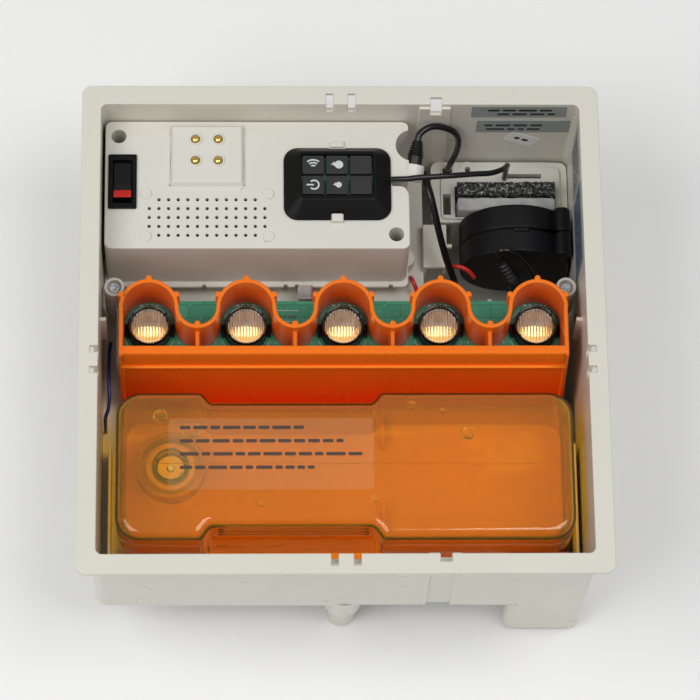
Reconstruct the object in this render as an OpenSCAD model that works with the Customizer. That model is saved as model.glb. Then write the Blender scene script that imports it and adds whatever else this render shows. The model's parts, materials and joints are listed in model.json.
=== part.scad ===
// Drop-in engine cassette of a water vapour fire, in millimetres.
// +X is to the right, +Y to the back and +Z up. The origin is the bottom centre of the whole cassette.

/* [Casing] */
// Width of the rim flange
rim_w = 254; // [252:0.5:256]
// Depth of the rim flange
rim_d = 251; // [249:0.5:252]
// Thickness of the rim flange
rim_t = 3; // [2.5:0.1:3.5]
// Thickness of the casing walls and floor
wall = 2.5; // [2:0.1:2.5]
// Height of the tub wall's outer floor above the feet
tub_floor_z = 45; // [44:0.5:45]
// Height of the deep well's outer floor above the feet
well_floor_z = 3.5; // [3:0.5:5]
// Radius of the locating peg's tip
peg_r = 6.85; // [6:0.05:7]

/* [Control box] */
// Height of the control box's flat top
cover_z = 104; // [103.5:0.5:104.5]
// Thickness of the control cover
cover_t = 2; // [1.8:0.1:2]
// Diameter of one speaker grille hole
grille_hole_d = 1.8; // [1.4:0.1:2.4]
// Angle between the two positions of the rocker
rocker_throw = 24; // [16:1:24]

/* [Blower and filter] */
// Radius of the blower case
blower_r = 27.5; // [26:0.5:27.5]
// Number of impeller blades
blade_count = 24; // [16:2:30]

/* [Lamps] */
// Distance between neighbouring lamps
lamp_pitch = 47.5; // [47.4:0.1:47.6]
// Radius of one lamp lens
lens_r = 9.4; // [8.5:0.1:9.4]

/* [Mist nozzle] */
// Height of the nozzle's top edge
nozzle_z = 104; // [102:0.5:106]
// Radius of the wall's centre line behind each lamp
lobe_r = 13.6; // [13.4:0.1:13.8]
// Thickness of the nozzle's walls
nozzle_t = 2; // [1.6:0.1:2]

/* [Water tank] */
// Height of the tank's top
tank_z = 104; // [100:0.5:106]
// Thickness of the tank's walls
tank_t = 2; // [1.5:0.1:2]
// Radius of the tank's corners
tank_corner_r = 12; // [10:0.5:13]

/* [Hidden] */
$fn = 48;

// A little extra so that cuts run past a face
eps = 1;

// Casing
rim_z = 122;
open_w = 235;
open_d = 231;
tub_w = open_w + 2 * wall;
tub_d = open_d + 2 * wall;
floor_in_z = tub_floor_z + wall;
well_in_z = well_floor_z + wall;
channel_x = 81.5;
rear_well_x = 41;
rear_well_y = 28;
peg_x = 1;
peg_y = -109;
peg_collar_r = 9.8;
peg_collar_z = 27;
nub_r = 1.75;
leg_x = -100;
leg_y = 100;
pillar_x = 111.3;
pillar_y = 31.7;
pillar_r = 4.2;
pillar_top_z = 62;
screw_hole_r = 1.6;
pilaster_x = [39, 54.6];
pilaster_jog = 1.2;
hook_slot_x = [44.5, 50];
prong_gap = 3.4;
clip_drop = 9;
inlet_slot_z = [9, 22];

// Control box
box_x = [-116, 34];
box_y = [46.3, 115];
ledge_z = 60;
base_t = 2.5;
groove_y = 81.85;
groove_r = 2.35;
groove_end_x = 26.8;
notch_pos = [36.2, 101.6];
notch_r = 8.6;
slope_y = 106.5;
slope_drop = 1.45;
recess_pos = [[-109.3, 106.2], [27.3, 53.8]];
recess_r = 3.75;
recess_floor_z = 66;
contact_x = [-71.4, -60.2];
contact_y = [91.7, 103.1];
contact_pos = [for (y = contact_y, x = contact_x) [x, y]];
pad_x = [-84.8, -46.5];
pad_y = [78.4, 112.5];
pad_h = 3;
grille_pitch = 4.73;
grille_centre = [-65.65, 62.75];
foot_pos = [[-95.65, 75.1], [-95.65, 52.5], [-35.5, 75.1], [-35.5, 52.5]];
rocker_c = [-107.3, 81.5];
rocker_pivot_z = 100.5;
keypad_x = [-28, 25];
keypad_y = [61, 99.5];
keypad_h = 7;
keypad_top_x = [keypad_x[0] + 7.6, keypad_x[1] - 7.6];
keypad_top_y = [keypad_y[0] + 8.4, keypad_y[1] - 4.4];
key_window_x = [-19.4, 16];
key_window_y = [71.8, 93.7];
key_x = [-13.5, -1.8, 10];
key_y = [88.15, 77.35];
key_size = [10.7, 9.8];
key_z = [107.6, 110.7];

// Blower and filter
blower_c = [89, 52.5];
blower_y = [54.7, 80.3];
seam_y = 67.5;
blower_wall = 1.5;
blower_intake_r = 15;
outlet_x = [99, 116.4];
outlet_z = 12;
blower_ear = [112, 72.5];
hub_r = 13;
impeller_r = 23;
foam_x = [60, 110.5];
foam_y = [91.7, 99.7];
felt_y = [83.7, 91.4];
filter_top_z = 64;
filter_low_z = 21;
frame_z = [51.5, 54];
frame_panel_h = 1.6;
lead_hole_pos = [56, 108.8];
keyhole_pos = [66.5, 109.6];
keypad_lead_slot = [[84, 104], [104.6, 107]];
side_slot = [[53.6, 57.6], [84.5, 96]];

// Lamps
lamp_count = 5;
lamp_x = [for (i = [0:lamp_count - 1]) 1 + (i - (lamp_count - 1) / 2) * lamp_pitch];
lamp_y = 13.5;
board_z = 75;
board_t = 1.6;
board_x = [-108, 110];
board_y = [-2, 30];
tray_z = 58;
tray_t = 1.6;
holder_z = 84.5;
lens_seat_z = holder_z - 4;
dome_r = 14.2;
dome_drop = 6.6;
lens_t = 2;

// Mist nozzle
lobe_y = 15.8;
valley_r = lamp_pitch / 2 - lobe_r;
nozzle_x = [-108.4, 110.3];
nozzle_low_z = 56.2;
wave_low_z = 76;
ear_low_z = 92;

// Sump, cradle and tank
sump_x = [-108, 110.5];
sump_y = [-106, 26];
sump_rim_z = 55.8;
sump_t = 1.6;
cradle_x = [-114, 115.5];
cradle_y = [-112, -42];
cradle_z = 67;
cradle_t = 1.5;
cradle_r = 14;
float_pos = [-60, 5];
transducer_pos = [30, 6];
tank_x = [-109.3, 111.2];
tank_y = [-102, -27.5];
tank_low_z = 56;
grip_x = [-66, 16.5];
grip_back = 5.4;
grip_front = 6.4;
cap_pos = [-83.5, -53.4];
pocket_r = 15;
pocket_z = 66;
neck_r = 9;
neck_hole_r = 7.3;

// Plug, socket and gland
plug_pos = [36.4, 89.4, 100.3];
plug_turn = [-76, 0, -9];
inline_plug_pos = [93.3, 36.6, 58.7];
gland_x = -60;
gland_z = 52.2;

// Routes of the leads: round points from one end to the other
keypad_lead_route = [
    [25, 81.85, 107], [29, 82, 107], [33, 82.2, 106.8], [38, 83, 106.5], [47, 84, 105.5],
    [57, 85.5, 103.5], [67, 87.8, 100], [75, 90, 96], [81, 94, 91], [84, 98.5, 85],
    [85, 102, 78], [85, 103.5, 70], [85, 104, 63], [85, 104, 57]
];
power_lead_route = [
    [38.7, 103.8, 103.9], [39.6, 107, 105], [43, 109.8, 105.5], [47, 111.5, 104.6], [52, 112.2, 101.5],
    [56.5, 112.4, 97], [59.5, 112.2, 90], [60.3, 111.6, 82], [59.6, 110.8, 73], [57.6, 109.5, 64],
    [56.2, 108.8, 57], [56, 108.8, 50]
];
twin_lead_route = [
    [33, 101.6, 60.1], [33.4, 101.6, 68], [34.8, 101, 77], [37.4, 99, 84.5], [40.4, 95, 89],
    [42.6, 89.8, 90.4], [44.2, 84.5, 90.6], [45.8, 79, 89], [47.8, 72, 84.5], [50, 65, 78],
    [53.6, 56, 68], [56.5, 51, 61], [58.5, 48.5, 54], [60, 47, 46]
];
blower_lead_route = [
    [80.2, 50.1, 78.1], [79, 51.2, 80], [78.2, 52, 82.2], [78.6, 52.5, 84.4], [80.6, 52.7, 85.9],
    [84, 52.6, 85.6], [88, 51.6, 82.6], [92.5, 49.6, 77], [96.5, 46.6, 70.5], [99.6, 43.6, 63],
    [101, 41.8, 55], [101.5, 41, 46]
];
red_wire_routes = [
    [
        [36.8, 52.5, 50], [36.8, 50.5, 54], [37.2, 48, 57], [38.4, 45.5, 56.5], [40, 43, 53.5],
        [43.5, 42, 50.2], [47, 42, 44], [48, 42, 36]
    ],
    [[57, 55, 59], [60, 54.4, 60.4], [63, 53.4, 60.4], [66, 52, 59], [68.5, 50, 56]]
];
blue_wire_route = [
    [-113.6, 12, 64], [-114, 6, 68], [-114, 0, 72], [-114, -7, 74.5], [-113.8, -14, 74.5],
    [-113.6, -20, 73], [-114.2, -25, 70], [-115.6, -28, 66], [-115.9, -29.5, 58], [-116, -30, 50]
];

// ---- Shared shapes ----

// A rectangle from a low to a high corner, with round corners
module round_rect(x, y, r) {
    difference() {
        translate([x[0], y[0]])
            square([x[1] - x[0], y[1] - y[0]]);
        for (sx = [0, 1], sy = [0, 1])
            translate([x[sx], y[sy]])
                difference() {
                    square(2 * r, center = true);
                    translate([(1 - 2 * sx) * r, (1 - 2 * sy) * r])
                        circle(r);
                }
    }
}

// A block between two corners
module block(x, y, z) {
    translate([x[0], y[0], z[0]])
        cube([x[1] - x[0], y[1] - y[0], z[1] - z[0]]);
}

// An upright plate of a flat outline, between two heights
module plate(z) {
    translate([0, 0, z[0]])
        linear_extrude(z[1] - z[0])
            children();
}

// An upright post at a plan position, between two heights
module post(p, r, z) {
    translate([p[0], p[1], z[0]])
        cylinder(r = r, h = z[1] - z[0]);
}

// A round bar along Y, at a place in X and Z
module bar_y(x, z, r, y) {
    translate([x, y[0], z])
        rotate([-90, 0, 0])
            cylinder(r = r, h = y[1] - y[0]);
}

// An outline drawn in X and Z, given a depth along Y
module slab_y(y) {
    translate([0, y[1], 0])
        rotate([90, 0, 0])
            linear_extrude(y[1] - y[0])
                children();
}

// An outline drawn in Y and Z, given a width along X
module slab_x(x) {
    translate([x[0], 0, 0])
        rotate([90, 0, 90])
            linear_extrude(x[1] - x[0])
                children();
}

// A tube of a given radius swept along a list of points
function unit(v) = v / norm(v);
function heading(p, i) = unit(p[min(i + 1, len(p) - 1)] - p[max(i - 1, 0)]);
function level_side(t) = norm(cross(t, [0, 0, 1])) > 0.1 ? unit(cross(t, [0, 0, 1])) : [1, 0, 0];
function carried_side(t, s) = unit(s - t * (s * t));
function sides_along(p, i, s) =
    i >= len(p) ? [] :
    let (c = carried_side(heading(p, i), s))
    concat([c], sides_along(p, i + 1, c));
module tube(p, r, n = 8) {
    sides = sides_along(p, 0, level_side(heading(p, 0)));
    points = [
        for (i = [0:len(p) - 1])
            let (t = heading(p, i), u = sides[i], v = cross(t, u))
            for (k = [0:n - 1])
                p[i] + r * (cos(360 * k / n) * u + sin(360 * k / n) * v)
    ];
    walls = [
        for (i = [0:len(p) - 2], k = [0:n - 1])
            [i * n + k, (i + 1) * n + k, (i + 1) * n + (k + 1) % n, i * n + (k + 1) % n]
    ];
    near_end = [for (k = [0:n - 1]) k];
    far_end = [for (k = [n - 1:-1:0]) (len(p) - 1) * n + k];
    polyhedron(points, concat(walls, [near_end, far_end]));
}

// ---- Casing ----

module casing_outside() {
    plate([rim_z - rim_t, rim_z])
        round_rect([-rim_w / 2, rim_w / 2], [-rim_d / 2, rim_d / 2], 5);
    plate([tub_floor_z, rim_z - eps])
        round_rect([-tub_w / 2, tub_w / 2], [-tub_d / 2, tub_d / 2], 5.5);
    plate([well_floor_z, tub_floor_z + eps])
        round_rect([channel_x, tub_w / 2], [-tub_d / 2, tub_d / 2], 5.5);
    plate([well_floor_z, tub_floor_z + eps])
        round_rect([rear_well_x, tub_w / 2], [rear_well_y, tub_d / 2], 5.5);
}

module casing_inside() {
    plate([floor_in_z, rim_z + eps])
        round_rect([-open_w / 2, open_w / 2], [-open_d / 2, open_d / 2], 3);
    plate([well_in_z, floor_in_z + eps])
        round_rect([channel_x + wall, open_w / 2], [-open_d / 2, open_d / 2], 3);
    plate([well_in_z, floor_in_z + eps])
        round_rect([rear_well_x + wall, open_w / 2], [rear_well_y + wall, open_d / 2], 3);
}

module pilasters(grow) {
    for (side = [-1, 1])
        block(pilaster_x + [-grow, grow],
            side > 0 ? [open_d / 2 - pilaster_jog - grow, open_d / 2 + eps] :
                [-open_d / 2 - eps, -open_d / 2 + pilaster_jog + grow],
            [floor_in_z - eps, rim_z - rim_t - grow]);
}

module pilaster_grooves() {
    for (side = [-1, 1])
        block(pilaster_x + [2, -2],
            side > 0 ? [tub_d / 2 - pilaster_jog, tub_d / 2 + eps] :
                [-tub_d / 2 - eps, -tub_d / 2 + pilaster_jog],
            [tub_floor_z - eps, rim_z - rim_t]);
}

module prong_gaps() {
    for (g = [[-7, -7 + prong_gap], [7.2 - prong_gap, 7.2]]) {
        block(g, [open_d / 2 - eps, open_d / 2 + 6], [rim_z - clip_drop, rim_z + eps]);
        block(g, [-open_d / 2 - 6, -open_d / 2 + eps], [rim_z - clip_drop, rim_z + eps]);
    }
    for (g = [[-25, -25 + prong_gap], [-11 - prong_gap, -11]]) {
        block([open_w / 2 - eps, open_w / 2 + 4], g, [rim_z - clip_drop, rim_z + eps]);
        block([-open_w / 2 - 4, -open_w / 2 + eps], g, [rim_z - clip_drop, rim_z + eps]);
    }
}

module hook_slots() {
    for (side = [-1, 1])
        block(hook_slot_x,
            side > 0 ? [open_d / 2 - 3, open_d / 2 + 4] : [-open_d / 2 - 4, -open_d / 2 + 3],
            [rim_z - clip_drop - eps, rim_z + eps]);
}

module air_inlet_slots() {
    for (i = [0:7])
        block([64 + 6 * i, 67 + 6 * i], [open_d / 2 - eps, tub_d / 2 + eps], inlet_slot_z);
}

module casing_feet() {
    for (p = [[peg_x, peg_y], [leg_x, leg_y]]) {
        post(p, peg_collar_r, [peg_collar_z, tub_floor_z + eps]);
        post(p, peg_r, [0, peg_collar_z + eps]);
    }
    for (p = [[108, -112.5], [108, 110], [50, 110]])
        post(p, nub_r, [0, well_floor_z + eps]);
}

// A low shelf on the well's left side, beside the filter frame
module well_shelf() {
    block([43, 55], [56.5, 80], [51.5, 54]);
    block([43, 45], [56.5, 80], [40, 52]);
    block([53, 55], [56.5, 80], [44, 52]);
    block([43, 58], [68, 70], [49.5, 52.5]);
}

// A trapezoid wall with a round nub, standing on the well's front wall
module well_bracket() {
    slab_y([33, 34.8])
        polygon([[62.5, 44], [89.5, 44], [89.5, 50], [81.3, 61.5], [70, 61.5], [62.5, 50]]);
    block([64, 88], [rear_well_y + 1, 34], [44, floor_in_z]);
    bar_y(75.5, 60.5, 1.4, [31, 36.4]);
}

module side_wall_ribs() {
    for (side = [-1, 1])
        translate([side * (open_w / 2 - 0.9), 10.5, 88])
            rotate([0, 0, side * -8])
                cube([4, 2, 26], center = true);
}

module casing() {
    color([0.87, 0.86, 0.81])
        difference() {
            union() {
                difference() {
                    casing_outside();
                    casing_inside();
                }
                pilasters(0);
                casing_feet();
                well_shelf();
                well_bracket();
                side_wall_ribs();
                for (side = [-1, 1])
                    post([side * pillar_x, pillar_y], pillar_r,
                        [(side > 0 ? well_in_z : floor_in_z) - eps, pillar_top_z]);
            }
            pilaster_grooves();
            prong_gaps();
            hook_slots();
            air_inlet_slots();
            for (side = [-1, 1])
                post([side * pillar_x, pillar_y], screw_hole_r, [50, pillar_top_z + eps]);
            translate([gland_x, tub_d / 2 + eps, gland_z])
                rotate([90, 0, 0])
                    cylinder(r = 5.2, h = wall + 2 * eps);
        }
}

// ---- Screws ----

// A pan-head screw pointing down, with a cross recess; z is the seat of the head
module pan_screw(p, z, head_r, shank_r, shank_l) {
    head_h = 2;
    difference() {
        union() {
            post(p, head_r, [z, z + head_h]);
            post(p, shank_r, [z - shank_l, z + eps]);
        }
        for (a = [0, 90])
            translate([p[0], p[1], z + head_h])
                rotate([0, 0, a + 20])
                    cube([head_r * 1.3, 0.7, 2.2], center = true);
    }
}

module screws() {
    color([0.75, 0.77, 0.78]) {
        for (side = [-1, 1])
            pan_screw([side * pillar_x, pillar_y], 86.5, 2.6, 1.5, 34);
        for (p = recess_pos)
            pan_screw(p, recess_floor_z, 2.7, 1.4, 8);
    }
}

// ---- Control box ----

// Outline of the control box with its plug notch and lead groove at the right
module box_outline(grow = 0) {
    difference() {
        round_rect([box_x[0] - grow, box_x[1] + grow], [box_y[0] - grow, box_y[1] + grow], 3.5);
        translate(notch_pos)
            circle(notch_r - grow);
        lead_groove(grow);
        corner_round([box_x[1] + grow, groove_y - groove_r + grow], -5);
        corner_round([box_x[1] + grow, groove_y + groove_r - grow], 3.5);
    }
}

// The groove that lets the keypad lead cross the box's right edge
module lead_groove(grow) {
    translate([groove_end_x, groove_y])
        circle(groove_r - grow);
    translate([groove_end_x, groove_y - groove_r + grow])
        square([10, 2 * (groove_r - grow)]);
}

// Takes the square tip off a corner that points right; a minus radius rounds the corner below it
module corner_round(p, r) {
    s = abs(r);
    difference() {
        translate([p[0] - s, r > 0 ? p[1] - eps : p[1] - s])
            square([s + eps, s + eps]);
        translate([p[0] - s, p[1] + r])
            circle(s);
    }
}

module keypad_clips() {
    block([-4.6, 1.2], [59.6, 61.8], [cover_z - eps, 107]);
    block([-4.6, 1.2], [59.6, 63.6], [106.2, 107.2]);
    block([-5, 2], [99.9, 103], [cover_z - eps, 105.6]);
}

// Raised contact pad: a block with four sloping sides
module contact_pad() {
    slope = 2.2;
    low = cover_z - eps;
    high = cover_z + pad_h;
    intersection() {
        slab_x(pad_x)
            polygon([
                [pad_y[0], low], [pad_y[1], low], [pad_y[1] - slope, high], [pad_y[0] + slope, high]
            ]);
        slab_y(pad_y)
            polygon([
                [pad_x[0], low], [pad_x[1], low], [pad_x[1] - slope, high], [pad_x[0] + slope, high]
            ]);
        plate([low, high])
            round_rect(pad_x, pad_y, 3);
    }
    for (p = contact_pos)
        post(p, 3.2, [high - eps, high + 0.8]);
}

// The socket that the power lead's plug pushes into, at the box's right edge
module plug_socket() {
    translate(plug_pos)
        rotate(plug_turn)
            translate([0, 0, -5])
                difference() {
                    cylinder(r = 5.2, h = 7.5);
                    translate([0, 0, eps])
                        cylinder(r = 2.8, h = 8);
                    translate([0, 0, 5])
                        cylinder(r = 4, h = 4);
                }
}

module grille_holes() {
    for (row = [-2:2])
        let (half = abs(row) == 2 ? 5 : 6)
        for (col = [-half:half])
            post([grille_centre[0] + col * grille_pitch, grille_centre[1] + row * grille_pitch],
                grille_hole_d / 2, [cover_z - cover_t - eps, cover_z + eps]);
}

module control_cover() {
    color([0.93, 0.92, 0.89])
        difference() {
            union() {
                difference() {
                    plate([ledge_z, cover_z])
                        box_outline();
                    plate([ledge_z - eps, cover_z - cover_t])
                        box_outline(-cover_t);
                }
                for (p = recess_pos)
                    intersection() {
                        post(p, recess_r + 1.5, [64, cover_z - eps]);
                        plate([ledge_z, cover_z])
                            box_outline();
                    }
                contact_pad();
                keypad_clips();
                plug_socket();
                for (p = foot_pos)
                    translate([p[0], p[1], cover_z - eps])
                        cylinder(r = 2.75, h = eps + 0.8);
            }
            for (p = recess_pos) {
                post(p, recess_r, [recess_floor_z, cover_z + eps]);
                post(p, 1.6, [60, recess_floor_z + eps]);
            }
            for (p = contact_pos)
                post(p, 2.35, [cover_z - cover_t - eps, cover_z + pad_h + 2]);
            grille_holes();
            translate(plug_pos)
                rotate(plug_turn)
                    cylinder(r = 4, h = 12);
            block([rocker_c[0] - 6.2, rocker_c[0] + 6.2], [rocker_c[1] - 13.7, rocker_c[1] + 13.7],
                [cover_z - cover_t - eps, cover_z + eps]);
            slab_x([box_x[0] - eps, box_x[1] + eps])
                polygon([
                    [slope_y, cover_z], [box_y[1] + eps, cover_z - slope_drop],
                    [box_y[1] + eps, cover_z + eps], [slope_y, cover_z + eps]
                ]);
        }
}

module control_base() {
    color([0.85, 0.84, 0.79])
        difference() {
            union() {
                plate([ledge_z - base_t, ledge_z])
                    round_rect([-117, 35], [43.6, 115.2], 3);
                for (p = [[-100, 56], [-100, 104], [-20, 56], [-20, 104], [34, 60]])
                    post(p, 4.5, [floor_in_z, ledge_z - base_t + 0.5]);
                for (p = recess_pos)
                    post(p, 3.4, [ledge_z - eps, 63.8]);
            }
            for (p = recess_pos)
                post(p, 1.5, [57, 65]);
            for (x = [-67.4, -26.6, -20.9, 26.2])
                block([x - 1, x + 1], [43, 44.8], [ledge_z - base_t - eps, ledge_z + eps]);
        }
}

module control_board() {
    color([0.1, 0.42, 0.22]) {
        block([-98, 16], [58, 104], [68, 69.6]);
        for (p = [[-90, 64], [-90, 98], [8, 64], [8, 98]])
            post(p, 3, [ledge_z, 68]);
        block([-60, -38], [84, 100], [69.6, 80]);
        block([-10, 4], [66, 78], [69.6, 74]);
        for (x = [-88, -78])
            post([x, 74], 3.6, [69.6, 82]);
    }
}

module speaker() {
    c = grille_centre;
    color([0.12, 0.12, 0.13])
        difference() {
            union() {
                plate([97, cover_z - cover_t])
                    round_rect([c[0] - 30.5, c[0] + 30.5], [c[1] - 13.2, c[1] + 13.2], 5);
                post(c, 11, [84, 98]);
            }
            plate([99, cover_z])
                round_rect([c[0] - 28.5, c[0] + 28.5], [c[1] - 11.2, c[1] + 11.2], 4);
        }
}

// ---- Rocker switch ----

module rocker_bezel() {
    c = rocker_c;
    color([0.1, 0.1, 0.1])
        difference() {
            union() {
                plate([cover_z, 105.4])
                    round_rect([c[0] - 7, c[0] + 7], [c[1] - 14.5, c[1] + 14.5], 0.8);
                block([c[0] - 6, c[0] + 6], [c[1] - 13.5, c[1] + 13.5], [86, cover_z + eps / 2]);
            }
            block([c[0] - 4.7, c[0] + 4.7], [c[1] - 11.4, c[1] + 11.4], [93, 106]);
            slab_x([c[0] - 5.4, c[0] + 5.4])
                translate([c[1], rocker_pivot_z])
                    circle(1.05);
        }
}

module rocker_paddle() {
    c = rocker_c;
    half = rocker_throw / 2;
    reach = 10.6;
    color([0.08, 0.08, 0.08])
        translate([c[0], c[1], rocker_pivot_z])
            rotate([-half, 0, 0]) {
                slab_x([-4.4, 4.4])
                    difference() {
                        polygon([
                            [-reach, 4.6], [-reach, 0.6], [-2.6, -3.4], [2.6, -3.4], [reach, 0.6],
                            [reach, 4.6], [0, 4.6 - reach * tan(half)]
                        ]);
                        translate([0, 32])
                            circle(r = 29.2, $fn = 96);
                    }
                slab_x([-5.2, 5.2])
                    circle(1);
            }
}

// ---- Sprung contacts ----

module contact_barrels() {
    color([0.83, 0.68, 0.3])
        for (p = contact_pos)
            difference() {
                post(p, 2.3, [91, 104.4]);
                post(p, 1.55, [92, 105]);
            }
}

module contact_pin(i) {
    p = contact_pos[i];
    head_low = 106.2;
    color([0.93, 0.76, 0.33]) {
        post(p, 1.45, [96, head_low + 0.5]);
        post(p, 2.05, [head_low, 107.6]);
        translate([p[0], p[1], 0])
            rotate_extrude()
                intersection() {
                    translate([0, 106.2])
                        circle(2.5);
                    translate([0, 107.6 - 0.1])
                        square([2.05, 3]);
                }
    }
}

// ---- Keypad ----

module keypad_shell() {
    top = cover_z + keypad_h;
    color([0.09, 0.09, 0.1])
        difference() {
            hull() {
                plate([cover_z, cover_z + 1.2])
                    round_rect(keypad_x, keypad_y, 7, $fn = 32);
                plate([top - 0.6, top])
                    round_rect(keypad_top_x, keypad_top_y, 2.6, $fn = 32);
            }
            plate([cover_z - eps, 106.4])
                round_rect([-21, 17.6], [70.4, 94.6], 2);
            plate([106, top + eps])
                round_rect(key_window_x, key_window_y, 1.2);
            block([-5, 1.6], [58, 64.2], [cover_z - eps, 109]);
            block([-5.4, 2.4], [98.6, 101], [cover_z - eps, 107]);
        }
}

module keypad_board() {
    color([0.1, 0.45, 0.25]) {
        block([-20.4, 17], [71, 94], [cover_z + 0.2, 105.6]);
        for (x = key_x, y = key_y)
            post([x, y], 2.6, [105.6, 106.6]);
    }
}

module keypad_key(i) {
    x = key_x[i % 3];
    y = key_y[floor(i / 3)];
    color([0.14, 0.14, 0.15])
        plate(key_z)
            round_rect([x - key_size[0] / 2, x + key_size[0] / 2],
                [y - key_size[1] / 2, y + key_size[1] / 2], 0.8);
}

// ---- Filter ----

module filter_frame() {
    color([0.9, 0.89, 0.86])
        difference() {
            union() {
                plate(frame_z)
                    round_rect([47.8, 117.2], [81, 114.2], 4);
                plate([frame_z[1] - eps, frame_z[1] + frame_panel_h])
                    round_rect([52.8, 113.4], [82.4, 110.8], 3);
                post([66.5, 110.2], 3.6, [frame_z[0], frame_z[1] + frame_panel_h]);
                plate([filter_low_z - 1.6, frame_z[1]])
                    round_rect([foam_x[0] - 1.8, foam_x[1] + 1.8], [felt_y[0] - 1.7, foam_y[1] + 1.8], 2);
            }
            block([foam_x[0] - 0.2, foam_x[1] + 0.2], [felt_y[0] - 0.2, foam_y[1] + 0.2],
                [filter_low_z, filter_top_z]);
            block([foam_x[0] + 3, foam_x[1] - 3], [felt_y[0] - 3, foam_y[1] + 3],
                [filter_low_z + 4, frame_z[0] - 4]);
            for (slot = [keypad_lead_slot, side_slot])
                block(slot[0], slot[1], [frame_z[0] - eps, frame_z[1] + 3]);
            post(lead_hole_pos, 2.6, [frame_z[0] - eps, frame_z[1] + 3]);
            post(keyhole_pos, 1.5, [frame_z[0] - eps, frame_z[1] + 3]);
        }
}

module filter_foam() {
    color([0.1, 0.1, 0.1])
        block(foam_x, foam_y, [filter_low_z, filter_top_z]);
}

module filter_felt() {
    color([0.68, 0.68, 0.67])
        block(foam_x + [0.2, -0.2], felt_y, [filter_low_z, filter_top_z - 0.6]);
}

// ---- Blower ----

// Outline of the blower case in X and Z, shrunk by a wall: scroll, outlet and ear
module blower_outline(inset, ear = true) {
    translate(blower_c)
        circle(blower_r - inset, $fn = 96);
    translate([outlet_x[0] + inset, outlet_z - (inset > 0 ? eps : 0)])
        square([outlet_x[1] - outlet_x[0] - 2 * inset, 40]);
    if (ear)
        translate(blower_ear)
            circle(4.2);
}

module blower_half(y, cavity_y) {
    difference() {
        slab_y(y)
            blower_outline(0);
        slab_y(cavity_y)
            blower_outline(blower_wall, false);
    }
}

module blower_front_case() {
    color([0.13, 0.13, 0.14]) {
        blower_half([blower_y[0], seam_y - 0.05], [blower_y[0] + blower_wall, seam_y + eps]);
        block([86.8, 94.8], [65.2, seam_y - 0.05], [blower_c[1] + 26, blower_c[1] + 28.6]);
        difference() {
            bar_y(blower_c[0], blower_c[1], 3, [blower_y[0] + eps, 71]);
            bar_y(blower_c[0], blower_c[1], 1.1, [blower_y[0] + 1.6, 72]);
        }
    }
}

module blower_rear_case() {
    color([0.13, 0.13, 0.14])
        difference() {
            blower_half([seam_y, blower_y[1]], [seam_y - eps, blower_y[1] - blower_wall]);
            bar_y(blower_c[0], blower_c[1], blower_intake_r, [blower_y[1] - 3, blower_y[1] + eps]);
        }
}

module blower_impeller() {
    c = blower_c;
    color([0.16, 0.16, 0.17]) {
        difference() {
            bar_y(c[0], c[1], hub_r, [58.5, 74]);
            bar_y(c[0], c[1], hub_r - 1.2, [57, 72.4]);
        }
        bar_y(c[0], c[1], 1, [57, 73]);
        difference() {
            bar_y(c[0], c[1], impeller_r, [58.5, 59.7]);
            bar_y(c[0], c[1], hub_r - 0.6, [57, 61]);
        }
        for (i = [0:blade_count - 1])
            translate([c[0], 59.2, c[1]])
                rotate([0, 360 * i / blade_count, 0])
                    translate([19.4, 8, 0])
                        rotate([0, 24, 0])
                            cube([6.4, 16, 0.8], center = true);
    }
}

module blower_stator() {
    c = blower_c;
    color([0.72, 0.4, 0.2])
        difference() {
            bar_y(c[0], c[1], 10.8, [58.2, 69]);
            bar_y(c[0], c[1], 3.02, [57, 70]);
            for (a = [0:90:270])
                translate([c[0], 63.6, c[1]])
                    rotate([0, a + 45, 0])
                        translate([8, 0, 0])
                            cube([7, 12, 2.4], center = true);
        }
}

// ---- Lamps ----

module lamp_tray() {
    color([0.86, 0.85, 0.8])
        difference() {
            union() {
                block([-110.5, 112.5], [-2.6, 30.4], [tray_z, board_z - board_t]);
                for (side = [-1, 1]) {
                    post([side * pillar_x, pillar_y], 5, [pillar_top_z, 90]);
                    block(side > 0 ? [103, 111] : [-111, -103], [26, 33], [pillar_top_z, 72]);
                }
            }
            block([-108.9, 110.9], [-1, 28.8], [tray_z + tray_t, board_z]);
            for (side = [-1, 1]) {
                post([side * pillar_x, pillar_y], pillar_r + 0.3, [tray_z - eps, pillar_top_z]);
                post([side * pillar_x, pillar_y], screw_hole_r, [60, 91]);
                post([side * pillar_x, pillar_y], 3.5, [86.5, 91]);
            }
        }
    color([0.86, 0.85, 0.8])
        for (x = [-60, 0, 60])
            post([x, 14], 3, [tray_z + 1, board_z - board_t]);
}

module lamp_board() {
    color([0.18, 0.62, 0.42])
        difference() {
            block(board_x, board_y, [board_z - board_t, board_z]);
            for (side = [-1, 1])
                post([side * pillar_x, pillar_y], 6, [board_z - 3, board_z + eps]);
        }
}

module lamp_emitters() {
    color([0.98, 0.85, 0.45])
        for (x = lamp_x)
            block([x - 2.5, x + 2.5], [lamp_y - 2.5, lamp_y + 2.5], [board_z, board_z + 1.4]);
}

module lamp_holder(i) {
    p = [lamp_x[i], lamp_y];
    color([0.08, 0.08, 0.08])
        difference() {
            union() {
                post(p, lens_r + 1.1, [board_z, holder_z]);
                block([p[0] - 12.2, p[0] + 12.2], [p[1] - 3, p[1] + 3], [board_z, board_z + 3.4]);
            }
            post(p, lens_r + 0.05, [lens_seat_z, holder_z + eps]);
            post(p, lens_r - 1, [board_z - eps, holder_z]);
        }
}

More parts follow.
